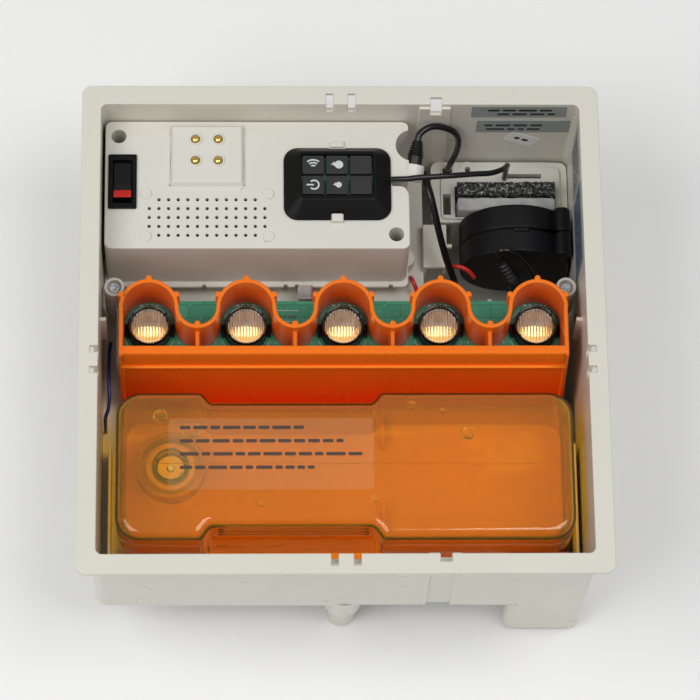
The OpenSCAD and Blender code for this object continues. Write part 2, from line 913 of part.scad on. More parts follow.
module lamp_lens(i) {
    color([0.95, 0.95, 0.92, 0.5])
        translate([lamp_x[i], lamp_y, lens_seat_z])
            rotate_extrude()
                intersection() {
                    square([lens_r, 8]);
                    difference() {
                        translate([0, -dome_drop])
                            circle(dome_r, $fn = 96);
                        translate([0, -dome_drop - lens_t])
                            circle(dome_r, $fn = 96);
                        translate([0, -5])
                            square([lens_r - 1.4, 9.4]);
                    }
                }
}

// ---- Mist nozzle ----

// Half of a ring, above or below its centre
module half_ring(r, up) {
    difference() {
        circle(r + nozzle_t / 2);
        circle(r - nozzle_t / 2);
        translate([-40, up ? -80 : 0])
            square([80, 80]);
    }
}

// The wavy wall behind the lamps, seen from above
module wave_outline() {
    for (x = lamp_x)
        translate([x, lobe_y])
            half_ring(lobe_r, true);
    for (i = [0:lamp_count - 2])
        translate([(lamp_x[i] + lamp_x[i + 1]) / 2, lobe_y])
            half_ring(valley_r, false);
}

module nozzle_ears() {
    ear_r = 1.5;
    ear_reach = lobe_r + nozzle_t / 2 + 0.5;
    for (x = lamp_x, a = [26, 90, 154])
        post([x + ear_reach * cos(a), lobe_y + ear_reach * sin(a)], ear_r, [ear_low_z, nozzle_z]);
    for (i = [0:lamp_count - 2])
        post([(lamp_x[i] + lamp_x[i + 1]) / 2, lobe_y - valley_r + nozzle_t / 2 + 0.5],
            ear_r, [ear_low_z, nozzle_z]);
}

module nozzle_front() {
    slab_x(nozzle_x)
        polygon([
            [-4.4, nozzle_z], [-8.3, nozzle_z], [-8.9, 103], [-10.2, 92.4], [-11.4, 91.8],
            [-11.4, 90.4], [-10.6, 89.8], [-17.2, nozzle_low_z], [-15.2, nozzle_low_z],
            [-8.4, 91], [-6.6, 101.8], [-4.4, 101.8]
        ]);
}

module nozzle_end_plates() {
    for (x = [[nozzle_x[0], nozzle_x[0] + nozzle_t], [nozzle_x[1] - nozzle_t, nozzle_x[1]]])
        slab_x(x)
            polygon([
                [-17.9, nozzle_low_z], [-9.2, nozzle_z - 1], [-4.4, nozzle_z], [lobe_y, nozzle_z],
                [lobe_y, wave_low_z], [-3.2, wave_low_z], [-3.2, 70], [-11, nozzle_low_z]
            ]);
}

module mist_nozzle() {
    color([0.95, 0.4, 0.1]) {
        plate([wave_low_z, nozzle_z])
            wave_outline();
        nozzle_ears();
        nozzle_front();
        nozzle_end_plates();
        for (i = [0:lamp_count - 2])
            let (x = (lamp_x[i] + lamp_x[i + 1]) / 2)
            block([x - 1, x + 1], [-7, 5.6], [wave_low_z, 99]);
    }
}

// ---- Sump and cradle ----

module sump_tray() {
    inner_x = [sump_x[0] + sump_t, sump_x[1] - sump_t];
    inner_y = [sump_y[0] + sump_t, sump_y[1] - sump_t];
    color([0.86, 0.3, 0.08]) {
        difference() {
            plate([floor_in_z, sump_rim_z])
                round_rect(sump_x, sump_y, 6);
            plate([floor_in_z + sump_t, sump_rim_z + eps])
                round_rect(inner_x, inner_y, 4.4);
        }
        post(float_pos, 2.2, [floor_in_z + 1, 57.6]);
        for (y = [-88, -40])
            block([20, 22], [y, y + 20], [floor_in_z + 1, sump_rim_z]);
    }
}

module tank_cradle() {
    color([0.88, 0.83, 0.72])
        difference() {
            plate([floor_in_z, cradle_z])
                round_rect(cradle_x, [cradle_y[0], cradle_y[1] + 30], cradle_r);
            plate([floor_in_z - eps, cradle_z + eps])
                round_rect([cradle_x[0] + cradle_t, cradle_x[1] - cradle_t],
                    [cradle_y[0] + cradle_t, cradle_y[1] + 40], cradle_r - cradle_t);
            block([cradle_x[0] - eps, cradle_x[1] + eps], [cradle_y[1], 40], [40, 80]);
        }
}

module mist_transducer() {
    p = transducer_pos;
    low = floor_in_z + sump_t;
    color([0.75, 0.76, 0.78])
        difference() {
            union() {
                post(p, 13, [low, low + 4]);
                post(p, 15, [low, low + 1.6]);
            }
            post(p, 10, [low + 3, low + 5]);
        }
}

module level_float() {
    low = floor_in_z + sump_t + 0.1;
    color([0.95, 0.95, 0.93])
        difference() {
            post(float_pos, 8, [low, low + 4]);
            post(float_pos, 2.5, [low - eps, low + 5]);
        }
}

// ---- Water tank ----

// Plan of the tank with its finger recesses, shrunk by an inset
module tank_outline(inset) {
    difference() {
        round_rect([tank_x[0] + inset, tank_x[1] - inset], [tank_y[0] + inset, tank_y[1] - inset],
            tank_corner_r - inset);
        tank_recess([tank_y[1] - grip_back - inset, tank_y[1] + eps], inset);
        tank_recess([tank_y[0] - eps, tank_y[0] + grip_front + inset], inset);
    }
}

// One finger recess in the tank's plan, between two depths
module tank_recess(y, inset) {
    translate([grip_x[0] - inset, y[0]])
        square([grip_x[1] - grip_x[0] + 2 * inset, y[1] - y[0]]);
}

module water_tank() {
    crown = 5;
    steps = 4;
    color([0.96, 0.6, 0.12, 0.6])
        difference() {
            union() {
                difference() {
                    union() {
                        plate([tank_low_z, tank_z - crown])
                            tank_outline(0);
                        for (i = [1:steps])
                            let (a = 90 * i / steps)
                            plate([tank_low_z + eps, tank_z - crown + crown * sin(a)])
                                tank_outline(crown * (1 - cos(a - 45 / steps)));
                    }
                    plate([tank_low_z + tank_t, tank_z - crown])
                        tank_outline(tank_t);
                    plate([tank_low_z + tank_t, tank_z - tank_t])
                        tank_outline(crown + 1);
                }
                post(cap_pos, pocket_r + tank_t, [tank_low_z, pocket_z + tank_t]);
            }
            post(cap_pos, pocket_r, [tank_low_z - eps, pocket_z]);
            post(cap_pos, neck_hole_r, [pocket_z - eps, pocket_z + 4]);
        }
    color([0.96, 0.6, 0.12, 0.6])
        difference() {
            post(cap_pos, neck_r, [54.6, pocket_z + 0.5]);
            post(cap_pos, neck_hole_r, [54, pocket_z + 3]);
        }
}

module tank_cap() {
    color([0.93, 0.72, 0.15]) {
        difference() {
            post(cap_pos, 12, [50.6, 64]);
            post(cap_pos, neck_r + 0.3, [52.4, 65]);
            post(cap_pos, 2.7, [50, 53]);
        }
        difference() {
            post(cap_pos, 6.7, [61, 62.4]);
            post(cap_pos, 2, [60, 63]);
        }
        for (side = [-1, 1])
            post([cap_pos[0] + side * 5.1, cap_pos[1]], 0.8, [52, 61.5]);
    }
}

module cap_seal() {
    color([0.2, 0.2, 0.2])
        difference() {
            post(cap_pos, neck_r, [52.5, 54.5]);
            post(cap_pos, 6, [52, 55]);
        }
}

module valve_plunger() {
    color([0.85, 0.85, 0.82]) {
        post(cap_pos, 2.2, [49.4, 53]);
        post(cap_pos, 3.9, [52.5, 54]);
        post(cap_pos, 1.6, [53.5, 63]);
    }
}

module valve_spring() {
    turns = 5;
    pitch = 1.3;
    color([0.7, 0.7, 0.72])
        translate([cap_pos[0], cap_pos[1], 54.55])
            for (i = [0:turns - 1])
                translate([0, 0, i * pitch])
                    rotate_extrude()
                        translate([2.6, 0])
                            circle(0.4, $fn = 16);
}

// ---- Leads, plugs and gland ----

// A round plug along Z whose strain relief tapers in six ribs
module ribbed_plug(body_l, relief_l) {
    color([0.06, 0.06, 0.06])
        rotate_extrude($fn = 32)
            polygon(concat(
                [[0, 0], [3.4, 0], [3.6, 0.6], [3.6, body_l]],
                [for (i = [0:5]) each [
                    [4.2 - i * 0.26, body_l + relief_l * (i + 0.1) / 6],
                    [3.2 - i * 0.18, body_l + relief_l * (i + 0.3) / 6],
                    [3.2 - i * 0.18, body_l + relief_l * (i + 0.7) / 6],
                    [4.2 - i * 0.26, body_l + relief_l * (i + 0.9) / 6]
                ]],
                [[0, body_l + relief_l]]
            ));
}

module lead_plugs() {
    translate(plug_pos)
        rotate(plug_turn)
            ribbed_plug(7, 8);
    translate(inline_plug_pos)
        rotate([0, -34, 0])
            rotate([-30, 0, 0])
                ribbed_plug(14, 13);
}

module keypad_lead() {
    color([0.05, 0.05, 0.05])
        tube(keypad_lead_route, 1.4);
}

module power_lead() {
    color([0.05, 0.05, 0.05])
        tube(power_lead_route, 1.65);
}

module twin_lead() {
    color([0.05, 0.05, 0.05])
        tube(twin_lead_route, 1.9);
}

module blower_lead() {
    color([0.05, 0.05, 0.05])
        tube(blower_lead_route, 1.4);
}

module red_wires() {
    color([0.85, 0.1, 0.08])
        for (route = red_wire_routes)
            tube(route, 1.1);
}

module blue_wire() {
    color([0.1, 0.14, 0.45])
        tube(blue_wire_route, 0.9);
}

module ribbon_cable() {
    color([0.6, 0.6, 0.62])
        slab_x([-20.5, -13.2])
            polygon([
                [43.5, 61], [43.5, 62.2], [39, 62.2], [31.4, 70.4],
                [31.4, 76.6], [30.6, 76.6], [30.6, 69.8], [38.6, 61]
            ]);
}

module mains_gland() {
    y = tub_d / 2;
    color([0.12, 0.12, 0.12])
        difference() {
            union() {
                bar_y(gland_x, gland_z, 5, [y - wall - 0.4, y + 0.4]);
                bar_y(gland_x, gland_z, 7, [y, y + 2.4]);
                bar_y(gland_x, gland_z, 4.6, [y - wall - 2.4, y - wall]);
            }
            bar_y(gland_x, gland_z, 3.5, [y - 8, y + 8]);
        }
}

casing();
screws();
control_base();
control_cover();
control_board();
speaker();
rocker_bezel();
rocker_paddle();
contact_barrels();
contact_pin(0);  // contact_pin_1
contact_pin(1);  // contact_pin_2
contact_pin(2);  // contact_pin_3
contact_pin(3);  // contact_pin_4
keypad_shell();
keypad_board();
keypad_key(0);  // key_1
keypad_key(1);  // key_2
keypad_key(2);  // key_3
keypad_key(3);  // key_4
keypad_key(4);  // key_5
keypad_key(5);  // key_6
filter_frame();
filter_foam();
filter_felt();
blower_front_case();
blower_rear_case();
blower_impeller();
blower_stator();
lamp_tray();
lamp_board();
lamp_emitters();
lamp_holder(0);  // lamp_holder_1
lamp_holder(1);  // lamp_holder_2
lamp_holder(2);  // lamp_holder_3
lamp_holder(3);  // lamp_holder_4
lamp_holder(4);  // lamp_holder_5
lamp_lens(0);  // lamp_lens_1
lamp_lens(1);  // lamp_lens_2
lamp_lens(2);  // lamp_lens_3
lamp_lens(3);  // lamp_lens_4
lamp_lens(4);  // lamp_lens_5
mist_nozzle();
sump_tray();
tank_cradle();
mist_transducer();
level_float();
water_tank();
tank_cap();
cap_seal();
valve_plunger();
valve_spring();
lead_plugs();
keypad_lead();
power_lead();
twin_lead();
blower_lead();
red_wires();
blue_wire();
ribbon_cable();
mains_gland();
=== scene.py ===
import json
import math
import random

import bmesh
import bpy
from mathutils import Matrix, Quaternion, Vector, noise

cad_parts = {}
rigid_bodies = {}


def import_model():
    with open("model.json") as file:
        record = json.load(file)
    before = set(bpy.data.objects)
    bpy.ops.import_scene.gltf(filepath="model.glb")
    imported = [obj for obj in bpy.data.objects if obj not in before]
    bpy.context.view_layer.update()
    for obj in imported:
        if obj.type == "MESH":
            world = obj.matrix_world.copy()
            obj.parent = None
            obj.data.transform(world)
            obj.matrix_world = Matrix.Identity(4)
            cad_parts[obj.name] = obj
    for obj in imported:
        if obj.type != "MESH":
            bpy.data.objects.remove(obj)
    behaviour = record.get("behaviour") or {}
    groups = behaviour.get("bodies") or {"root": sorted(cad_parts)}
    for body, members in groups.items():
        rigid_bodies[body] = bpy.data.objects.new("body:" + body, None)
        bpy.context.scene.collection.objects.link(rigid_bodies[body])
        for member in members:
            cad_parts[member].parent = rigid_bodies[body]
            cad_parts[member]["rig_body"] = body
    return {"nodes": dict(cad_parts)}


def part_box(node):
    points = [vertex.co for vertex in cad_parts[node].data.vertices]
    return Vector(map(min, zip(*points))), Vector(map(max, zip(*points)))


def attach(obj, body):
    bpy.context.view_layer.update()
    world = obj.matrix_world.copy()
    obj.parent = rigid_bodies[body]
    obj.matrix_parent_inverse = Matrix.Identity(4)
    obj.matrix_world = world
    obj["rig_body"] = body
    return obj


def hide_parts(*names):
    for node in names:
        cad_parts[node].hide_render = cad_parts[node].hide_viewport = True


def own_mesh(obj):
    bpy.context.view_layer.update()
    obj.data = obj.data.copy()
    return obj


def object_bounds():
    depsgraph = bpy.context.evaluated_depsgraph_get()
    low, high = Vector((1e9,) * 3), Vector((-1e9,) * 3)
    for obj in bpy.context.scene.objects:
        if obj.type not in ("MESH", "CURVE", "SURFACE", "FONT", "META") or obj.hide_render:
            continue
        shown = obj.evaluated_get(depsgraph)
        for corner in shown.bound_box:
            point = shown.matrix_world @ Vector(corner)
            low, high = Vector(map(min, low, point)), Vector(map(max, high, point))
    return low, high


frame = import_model()
cad_low, cad_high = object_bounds()
nodes = frame["nodes"]

MM = 0.001
FLOOR_Z = 0.0
RIM_Z = cad_high.z / MM
LAMP_Y = 13.5
CONTACT_X = (-71.4, -60.2)
CONTACT_Y = (91.7, 103.1)

# ---- Camera ----


def make_camera():
    azimuth, elevation, roll = (math.radians(angle) for angle in (-5.433, 69.279, 5.046))
    aim = Vector((3.015, -13.673, 122)) * MM
    distance = 1716.914 * MM
    back = Vector((
        math.sin(azimuth) * math.cos(elevation),
        -math.cos(azimuth) * math.cos(elevation),
        math.sin(elevation),
    ))
    camera = bpy.data.objects.new("camera", bpy.data.cameras.new("camera"))
    camera.data.sensor_width = 36
    camera.data.lens = 184.23
    camera.data.clip_start = 0.1
    camera.data.clip_end = 20
    camera.location = aim + back * distance
    camera.rotation_mode = "QUATERNION"
    camera.rotation_quaternion = (-back).to_track_quat("-Z", "Y") @ Quaternion((0, 0, 1), roll)
    bpy.context.scene.collection.objects.link(camera)
    bpy.context.scene.camera = camera


make_camera()

# ---- Mesh helpers ----


def placed_piece(bm, name, material, body, replaced=()):
    """One smooth piece that rides on a body and may stand for CAD nodes."""
    mesh = bpy.data.meshes.new(name)
    for face in bm.faces:
        face.smooth = True
    bm.to_mesh(mesh)
    bm.free()
    piece = bpy.data.objects.new(name, mesh)
    for one in material if isinstance(material, (list, tuple)) else [material]:
        mesh.materials.append(one)
    bpy.context.scene.collection.objects.link(piece)
    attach(piece, body)
    if replaced:
        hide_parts(*replaced)
    return piece


def piece_from_bmesh(bm, name, material, body, replaced=()):
    """A piece made here, with all its faces turned outwards."""
    bmesh.ops.recalc_face_normals(bm, faces=bm.faces)
    return placed_piece(bm, name, material, body, replaced)


def sharpen(piece, degrees=35):
    """Splits the shading at edges that turn by more than this."""
    piece.data.set_sharp_from_angle(angle=math.radians(degrees))
    return piece


def even_shading(piece):
    shading = piece.modifiers.new("even_shading", "WEIGHTED_NORMAL")
    shading.keep_sharp = True
    shading.weight = 80


def face_depth(face, edge):
    """How far a face reaches from one of its edges."""
    start = edge.verts[0].co
    along = (edge.verts[1].co - start).normalized()
    return max(((v.co - start) - along * (v.co - start).dot(along)).length for v in face.verts)


WELD_GAP = 0.002 * MM
FLAT_TURN = math.radians(0.3)
SHARP_TURN = math.radians(28)
THIN_SHARE = 0.38
LEAST_ROUNDING = 0.03


def welded(node):
    """A CAD node's mesh with its doubled points joined and its flat faces whole."""
    bm = bmesh.new()
    bm.from_mesh(nodes[node].data)
    bmesh.ops.remove_doubles(bm, verts=bm.verts, dist=WELD_GAP)
    bmesh.ops.dissolve_limit(bm, angle_limit=FLAT_TURN, verts=bm.verts, edges=bm.edges)
    return bm


def weigh_edges(bm, width, left_sharp):
    """Gives each sharp edge as much of the full rounding as the faces beside it have room for."""
    weight = bm.edges.layers.float.new("bevel_weight_edge")
    for edge in bm.edges:
        if len(edge.link_faces) != 2 or edge.calc_face_angle(0) < SHARP_TURN:
            continue
        if left_sharp and any(left_sharp(*(v.co / MM)) for v in edge.verts):
            edge.smooth = False
            continue
        room = min(face_depth(face, edge) for face in edge.link_faces)
        share = min(1.0, THIN_SHARE * room / (width * MM))
        edge[weight] = share
        edge.smooth = share * width > LEAST_ROUNDING


def moulded(node, name, material, width=0.4, segments=2, tag=None, left_sharp=None):
    """The CAD node's own shape with rounded edges, as a piece that stands for it.

    tag picks a face's material, and left_sharp says where the edges stay as they are.
    """
    bm = welded(node)
    weigh_edges(bm, width, left_sharp)
    if tag:
        for face in bm.faces:
            face.material_index = tag(face.calc_center_median() / MM, face.normal)
    piece = placed_piece(bm, name, material, nodes[node]["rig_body"], [node])
    bevel = piece.modifiers.new("rounded_edges", "BEVEL")
    bevel.width = width * MM
    bevel.segments = segments
    bevel.limit_method = "WEIGHT"
    bevel.use_clamp_overlap = False
    even_shading(piece)
    return piece


def add_ring(bm, points):
    return [bm.verts.new(Vector(point) * MM) for point in points]


def bridge(bm, ring_a, ring_b):
    count = len(ring_a)
    for i in range(count):
        j = (i + 1) % count
        bm.faces.new((ring_a[i], ring_a[j], ring_b[j], ring_b[i]))


def loft(bm, rings, close=False):
    """Skins a list of rings of the same number of points, with a flat face at each end."""
    made = [add_ring(bm, ring) for ring in rings]
    for ring_a, ring_b in zip(made, made[1:]):
        bridge(bm, ring_a, ring_b)
    if close:
        bridge(bm, made[-1], made[0])
    else:
        bm.faces.new(reversed(made[0]))
        bm.faces.new(made[-1])


def circle_points(centre, radius, z, count):
    return [
        (
            centre[0] + radius * math.cos(math.tau * i / count),
            centre[1] + radius * math.sin(math.tau * i / count),
            z,
        )
        for i in range(count)
    ]


def turned(bm, centre, profile, count=48):
    """A turned shape about an upright axis, from a list of radius and height. Both ends are closed."""
    loft(bm, [circle_points(centre, radius, z, count) for radius, z in profile])


def fillet(corners, radii, steps=6):
    """A closed outline with each corner rounded by its own radius."""
    outline = []
    count = len(corners)
    for i in range(count):
        point = Vector(corners[i])
        before = (Vector(corners[i - 1]) - point).normalized()
        after = (Vector(corners[(i + 1) % count]) - point).normalized()
        half = before.angle(after) / 2
        reach = radii[i] / math.tan(half)
        start, end = point + before * reach, point + after * reach
        middle = point + (before + after).normalized() * radii[i] / math.sin(half)
        arm_a, arm_b = start - middle, end - middle
        whole = arm_a.angle(arm_b)
        for k in range(steps + 1):
            share = k / steps
            arm = (
                arm_a * math.sin((1 - share) * whole) + arm_b * math.sin(share * whole)
            ) / math.sin(whole)
            outline.append(tuple(middle + arm))
    return outline


def inset_corners(corners, inset):
    """The corners of an anticlockwise outline whose sides all move inwards."""
    moved = []
    count = len(corners)
    for i in range(count):
        point = Vector(corners[i])
        before = (point - Vector(corners[i - 1])).normalized()
        after = (Vector(corners[(i + 1) % count]) - point).normalized()
        inward_a, inward_b = Vector((-before.y, before.x)), Vector((-after.y, after.x))
        bisector = inward_a + inward_b
        moved.append(tuple(point + bisector * inset / (1 + inward_a.dot(inward_b))))
    return moved


def rect_corners(x, y):
    return [(x[0], y[0]), (x[1], y[0]), (x[1], y[1]), (x[0], y[1])]


def rounded_rect(x, y, radius, steps):
    return fillet(rect_corners(x, y), [radius] * 4, steps)


def add_prism(bm, outline, low, high, place=None):
    """A flat outline given a thickness, put in place by a matrix in millimetres."""
    place = place or Matrix.Identity(4)
    rings = [[tuple(place @ Vector((x, y, z))) for x, y in outline] for z in (low, high)]
    loft(bm, rings)


def flat_piece(name, outlines, low, high, material, body, place=None):
    bm = bmesh.new()
    for outline in outlines:
        add_prism(bm, outline, low, high, place)
    return sharpen(piece_from_bmesh(bm, name, material, body))


def arc_band(centre, radius, width, start, end, steps=20):
    """The outline of a curved bar, between two angles in degrees."""
    angles = [math.radians(start + (end - start) * i / steps) for i in range(steps + 1)]
    outer, inner = (
        [(centre[0] + reach * math.cos(a), centre[1] + reach * math.sin(a)) for a in angles]
        for reach in (radius + width / 2, radius - width / 2)
    )
    return outer + inner[::-1]


def smooth_path(points, steps=6):
    """A soft curve through all the points of a route."""
    dense = []
    padded = [points[0], *points, points[-1]]
    for i in range(1, len(padded) - 2):
        p0, p1, p2, p3 = (Vector(padded[k]) for k in (i - 1, i, i + 1, i + 2))
        for k in range(steps):
            t = k / steps
            dense.append(
                0.5 * (2 * p1 + (p2 - p0) * t + (2 * p0 - 5 * p1 + 4 * p2 - p3) * t**2
                       + (3 * p1 - p0 - 3 * p2 + p3) * t**3)
            )
    dense.append(Vector(points[-1]))
    return dense


def sweep(bm, path, outline):
    """Carries a cross-section outline along a path without twisting it."""
    side = None
    rings = []
    for i, point in enumerate(path):
        along = (path[min(i + 1, len(path) - 1)] - path[max(i - 1, 0)]).normalized()
        if side is None:
            side = along.cross(Vector((0, 0, 1)))
            side = side.normalized() if side.length > 0.1 else Vector((1, 0, 0))
        side = (side - along * side.dot(along)).normalized()
        up = along.cross(side)
        rings.append([tuple(point + side * x + up * y) for x, y in outline])
    loft(bm, rings)


def round_section(radius, count=16):
    turns = [math.tau * i / count for i in range(count)]
    return [(radius * math.cos(a), radius * math.sin(a)) for a in turns]


# ---- Shader groups ----


def new_group(name, inputs, outputs):
    tree = bpy.data.node_groups.new(name, "ShaderNodeTree")
    for label, kind, value in inputs:
        socket = tree.interface.new_socket(name=label, in_out="INPUT", socket_type=kind)
        socket.default_value = value
    for label, kind in outputs:
        tree.interface.new_socket(name=label, in_out="OUTPUT", socket_type=kind)
    return tree, tree.nodes.new("NodeGroupInput"), tree.nodes.new("NodeGroupOutput")


def add(tree, kind, values=(), **settings):
    node = tree.nodes.new("ShaderNode" + kind)
    for key, value in settings.items():
        setattr(node, key, value)
    for key, value in dict(values).items():
        node.inputs[key].default_value = value
    return node


def link(tree, *pairs):
    for start, end in pairs:
        tree.links.new(start, end)


def object_points(tree):
    return add(tree, "TexCoord").outputs["Object"]


FLOAT, COLOUR = "NodeSocketFloat", "NodeSocketColor"


def make_grain_group():
    """Fine spark-eroded grain with a slow wave under it, as a height."""
    tree, given, out = new_group(
        "moulding_grain",
        [("Scale", FLOAT, 3000), ("Depth", FLOAT, 0.3), ("Wave", FLOAT, 0.2)],
        [("Height", FLOAT)],
    )
    points = object_points(tree)
    fine = add(tree, "TexNoise", {"Detail": 2, "Roughness": 0.6})
    slow = add(tree, "TexNoise", {"Scale": 60, "Detail": 2})
    fine_part = add(tree, "Math", operation="MULTIPLY")
    slow_part = add(tree, "Math", operation="MULTIPLY")
    total = add(tree, "Math", operation="ADD")
    link(
        tree,
        (points, fine.inputs["Vector"]), (points, slow.inputs["Vector"]),
        (given.outputs["Scale"], fine.inputs["Scale"]),
        (fine.outputs[0], fine_part.inputs[0]), (given.outputs["Depth"], fine_part.inputs[1]),
        (slow.outputs[0], slow_part.inputs[0]), (given.outputs["Wave"], slow_part.inputs[1]),
        (fine_part.outputs[0], total.inputs[0]), (slow_part.outputs[0], total.inputs[1]),
        (total.outputs[0], out.inputs["Height"]),
    )
    return tree


def make_tint_group():
    """A colour that drifts a little over the surface, with fine flecks in it."""
    tree, given, out = new_group(
        "batch_tint",
        [("Colour", COLOUR, (1, 1, 1, 1)), ("Drift", FLOAT, 0.05), ("Scale", FLOAT, 25),
         ("Fleck", FLOAT, 0.03)],
        [("Colour", COLOUR)],
    )
    points = object_points(tree)
    slow = add(tree, "TexNoise", {"Detail": 3, "Roughness": 0.55})
    fine = add(tree, "TexNoise", {"Scale": 1400, "Detail": 1})
    slow_part = add(tree, "Math", operation="MULTIPLY_ADD")
    fine_part = add(tree, "Math", operation="MULTIPLY_ADD")
    low_side = add(tree, "Math", {1: -0.5}, operation="MULTIPLY_ADD")
    low_side.inputs[2].default_value = 1
    fine_side = add(tree, "Math", {1: -0.5}, operation="MULTIPLY_ADD")
    brightness = add(tree, "VectorMath", operation="SCALE")
    link(
        tree,
        (points, slow.inputs["Vector"]), (points, fine.inputs["Vector"]),
        (given.outputs["Scale"], slow.inputs["Scale"]),
        (given.outputs["Drift"], low_side.inputs[0]),
        (slow.outputs[0], slow_part.inputs[0]), (given.outputs["Drift"], slow_part.inputs[1]),
        (low_side.outputs[0], slow_part.inputs[2]),
        (given.outputs["Fleck"], fine_side.inputs[0]), (slow_part.outputs[0], fine_side.inputs[2]),
        (fine.outputs[0], fine_part.inputs[0]), (given.outputs["Fleck"], fine_part.inputs[1]),
        (fine_side.outputs[0], fine_part.inputs[2]),
        (given.outputs["Colour"], brightness.inputs[0]), (fine_part.outputs[0], brightness.inputs["Scale"]),
        (brightness.outputs[0], out.inputs["Colour"]),
    )
    return tree


def make_marks_group():
    """Roughness with broad smudges and thin rub marks in it."""
    tree, given, out = new_group(
        "handling_marks",
        [("Roughness", FLOAT, 0.4), ("Smudge", FLOAT, 0.08), ("Rub", FLOAT, 0.05)],
        [("Roughness", FLOAT)],
    )
    points = object_points(tree)
    smudge = add(tree, "TexNoise", {"Scale": 45, "Detail": 4, "Roughness": 0.65, "Distortion": 0.6})
    stretch = add(tree, "Mapping", {"Rotation": (0.3, 0.5, 0.6), "Scale": (1, 14, 3)})
    rub = add(tree, "TexNoise", {"Scale": 90, "Detail": 3, "Roughness": 0.7})
    thin = add(tree, "MapRange", {"From Min": 0.6, "From Max": 0.72})
    smudge_part = add(tree, "Math", operation="MULTIPLY_ADD")
    rub_part = add(tree, "Math", operation="MULTIPLY_ADD")
    link(
        tree,
        (points, smudge.inputs["Vector"]), (points, stretch.inputs["Vector"]),
        (stretch.outputs[0], rub.inputs["Vector"]), (rub.outputs[0], thin.inputs["Value"]),
        (smudge.outputs[0], smudge_part.inputs[0]), (given.outputs["Smudge"], smudge_part.inputs[1]),
        (given.outputs["Roughness"], smudge_part.inputs[2]),
        (thin.outputs[0], rub_part.inputs[0]), (given.outputs["Rub"], rub_part.inputs[1]),
        (smudge_part.outputs[0], rub_part.inputs[2]),
        (rub_part.outputs[0], out.inputs["Roughness"]),
    )
    return tree


def make_edge_group():
    """A mask of the rounded edges."""
    tree, given, out = new_group(
        "edge_mask",
        [("Radius", FLOAT, 0.0006), ("Gain", FLOAT, 4)],
        [("Mask", FLOAT)],
    )
    rounded = add(tree, "Bevel", samples=4)
    flat = add(tree, "NewGeometry")
    facing = add(tree, "VectorMath", operation="DOT_PRODUCT")
    turn = add(tree, "Math", {0: 1}, operation="SUBTRACT")
    gain = add(tree, "Math", operation="MULTIPLY", use_clamp=True)
    link(
        tree,
        (given.outputs["Radius"], rounded.inputs["Radius"]),
        (rounded.outputs[0], facing.inputs[0]), (flat.outputs["Normal"], facing.inputs[1]),
        (facing.outputs["Value"], turn.inputs[1]),
        (turn.outputs[0], gain.inputs[0]), (given.outputs["Gain"], gain.inputs[1]),
        (gain.outputs[0], out.inputs["Mask"]),
    )
    return tree


def make_dust_group():
    """Pale dust that settles on faces that look up."""
    tree, given, out = new_group(
        "settled_dust",
        [("Colour", COLOUR, (0, 0, 0, 1)), ("Dust", COLOUR, (0.5, 0.48, 0.44, 1)), ("Amount", FLOAT, 0.1)],
        [("Colour", COLOUR)],
    )
    points = object_points(tree)
    split = add(tree, "SeparateXYZ")
    flat = add(tree, "NewGeometry")
    up = add(tree, "Math", {1: 3}, operation="POWER", use_clamp=True)
    cloud = add(tree, "TexNoise", {"Scale": 220, "Detail": 6, "Roughness": 0.75})
    specks = add(tree, "MapRange", {"From Min": 0.45, "From Max": 0.8})
    mask = add(tree, "Math", operation="MULTIPLY")
    amount = add(tree, "Math", operation="MULTIPLY", use_clamp=True)
    blend = add(tree, "Mix", data_type="RGBA")
    link(
        tree,
        (flat.outputs["Normal"], split.inputs[0]), (split.outputs["Z"], up.inputs[0]),
        (points, cloud.inputs["Vector"]), (cloud.outputs[0], specks.inputs["Value"]),
        (up.outputs[0], mask.inputs[0]), (specks.outputs[0], mask.inputs[1]),
        (mask.outputs[0], amount.inputs[0]), (given.outputs["Amount"], amount.inputs[1]),
        (amount.outputs[0], blend.inputs["Factor"]),
        (given.outputs["Colour"], blend.inputs["A"]), (given.outputs["Dust"], blend.inputs["B"]),
        (blend.outputs["Result"], out.inputs["Colour"]),
    )
    return tree


GRAIN = make_grain_group()
TINT = make_tint_group()
MARKS = make_marks_group()
EDGE = make_edge_group()
DUST = make_dust_group()


def place_group(tree, group, values=()):
    node = tree.nodes.new("ShaderNodeGroup")
    node.node_tree = group
    for key, value in dict(values).items():
        node.inputs[key].default_value = value
    return node


# ---- Materials ----


def rgba(colour):
    return (*colour, 1)


def start_material(name, own=()):
    material = bpy.data.materials.new(name)
    material.use_nodes = True
    tree = material.node_tree
    tree.nodes.clear()
    shader = add(tree, "BsdfPrincipled", own)
    output = add(tree, "OutputMaterial")
    link(tree, (shader.outputs[0], output.inputs["Surface"]))
    return material, tree, shader, output


def tinted(tree, colour, drift=0.05, scale=25, fleck=0.03):
    """Base colour with drift; colour is three numbers or a socket."""
    node = place_group(tree, TINT, {"Drift": drift, "Scale": scale, "Fleck": fleck})
    if isinstance(colour, tuple):
        node.inputs["Colour"].default_value = rgba(colour)
    else:
        link(tree, (colour, node.inputs["Colour"]))
    return node.outputs["Colour"]


BUMP_HEIGHT = 0.05 * MM


def finish_surface(tree, shader, colour, roughness, smudge, rub, scale, depth, wave):
    """Colour, marked roughness and moulded grain, joined to a material's own shader."""
    marks = place_group(tree, MARKS, {"Roughness": roughness, "Smudge": smudge, "Rub": rub})
    grain = place_group(tree, GRAIN, {"Scale": scale, "Depth": depth, "Wave": wave})
    bump = add(tree, "Bump", {"Strength": 1, "Distance": BUMP_HEIGHT})
    link(
        tree,
        (colour, shader.inputs["Base Color"]),
        (marks.outputs[0], shader.inputs["Roughness"]),
        (grain.outputs[0], bump.inputs["Height"]),
        (bump.outputs[0], shader.inputs["Normal"]),
    )


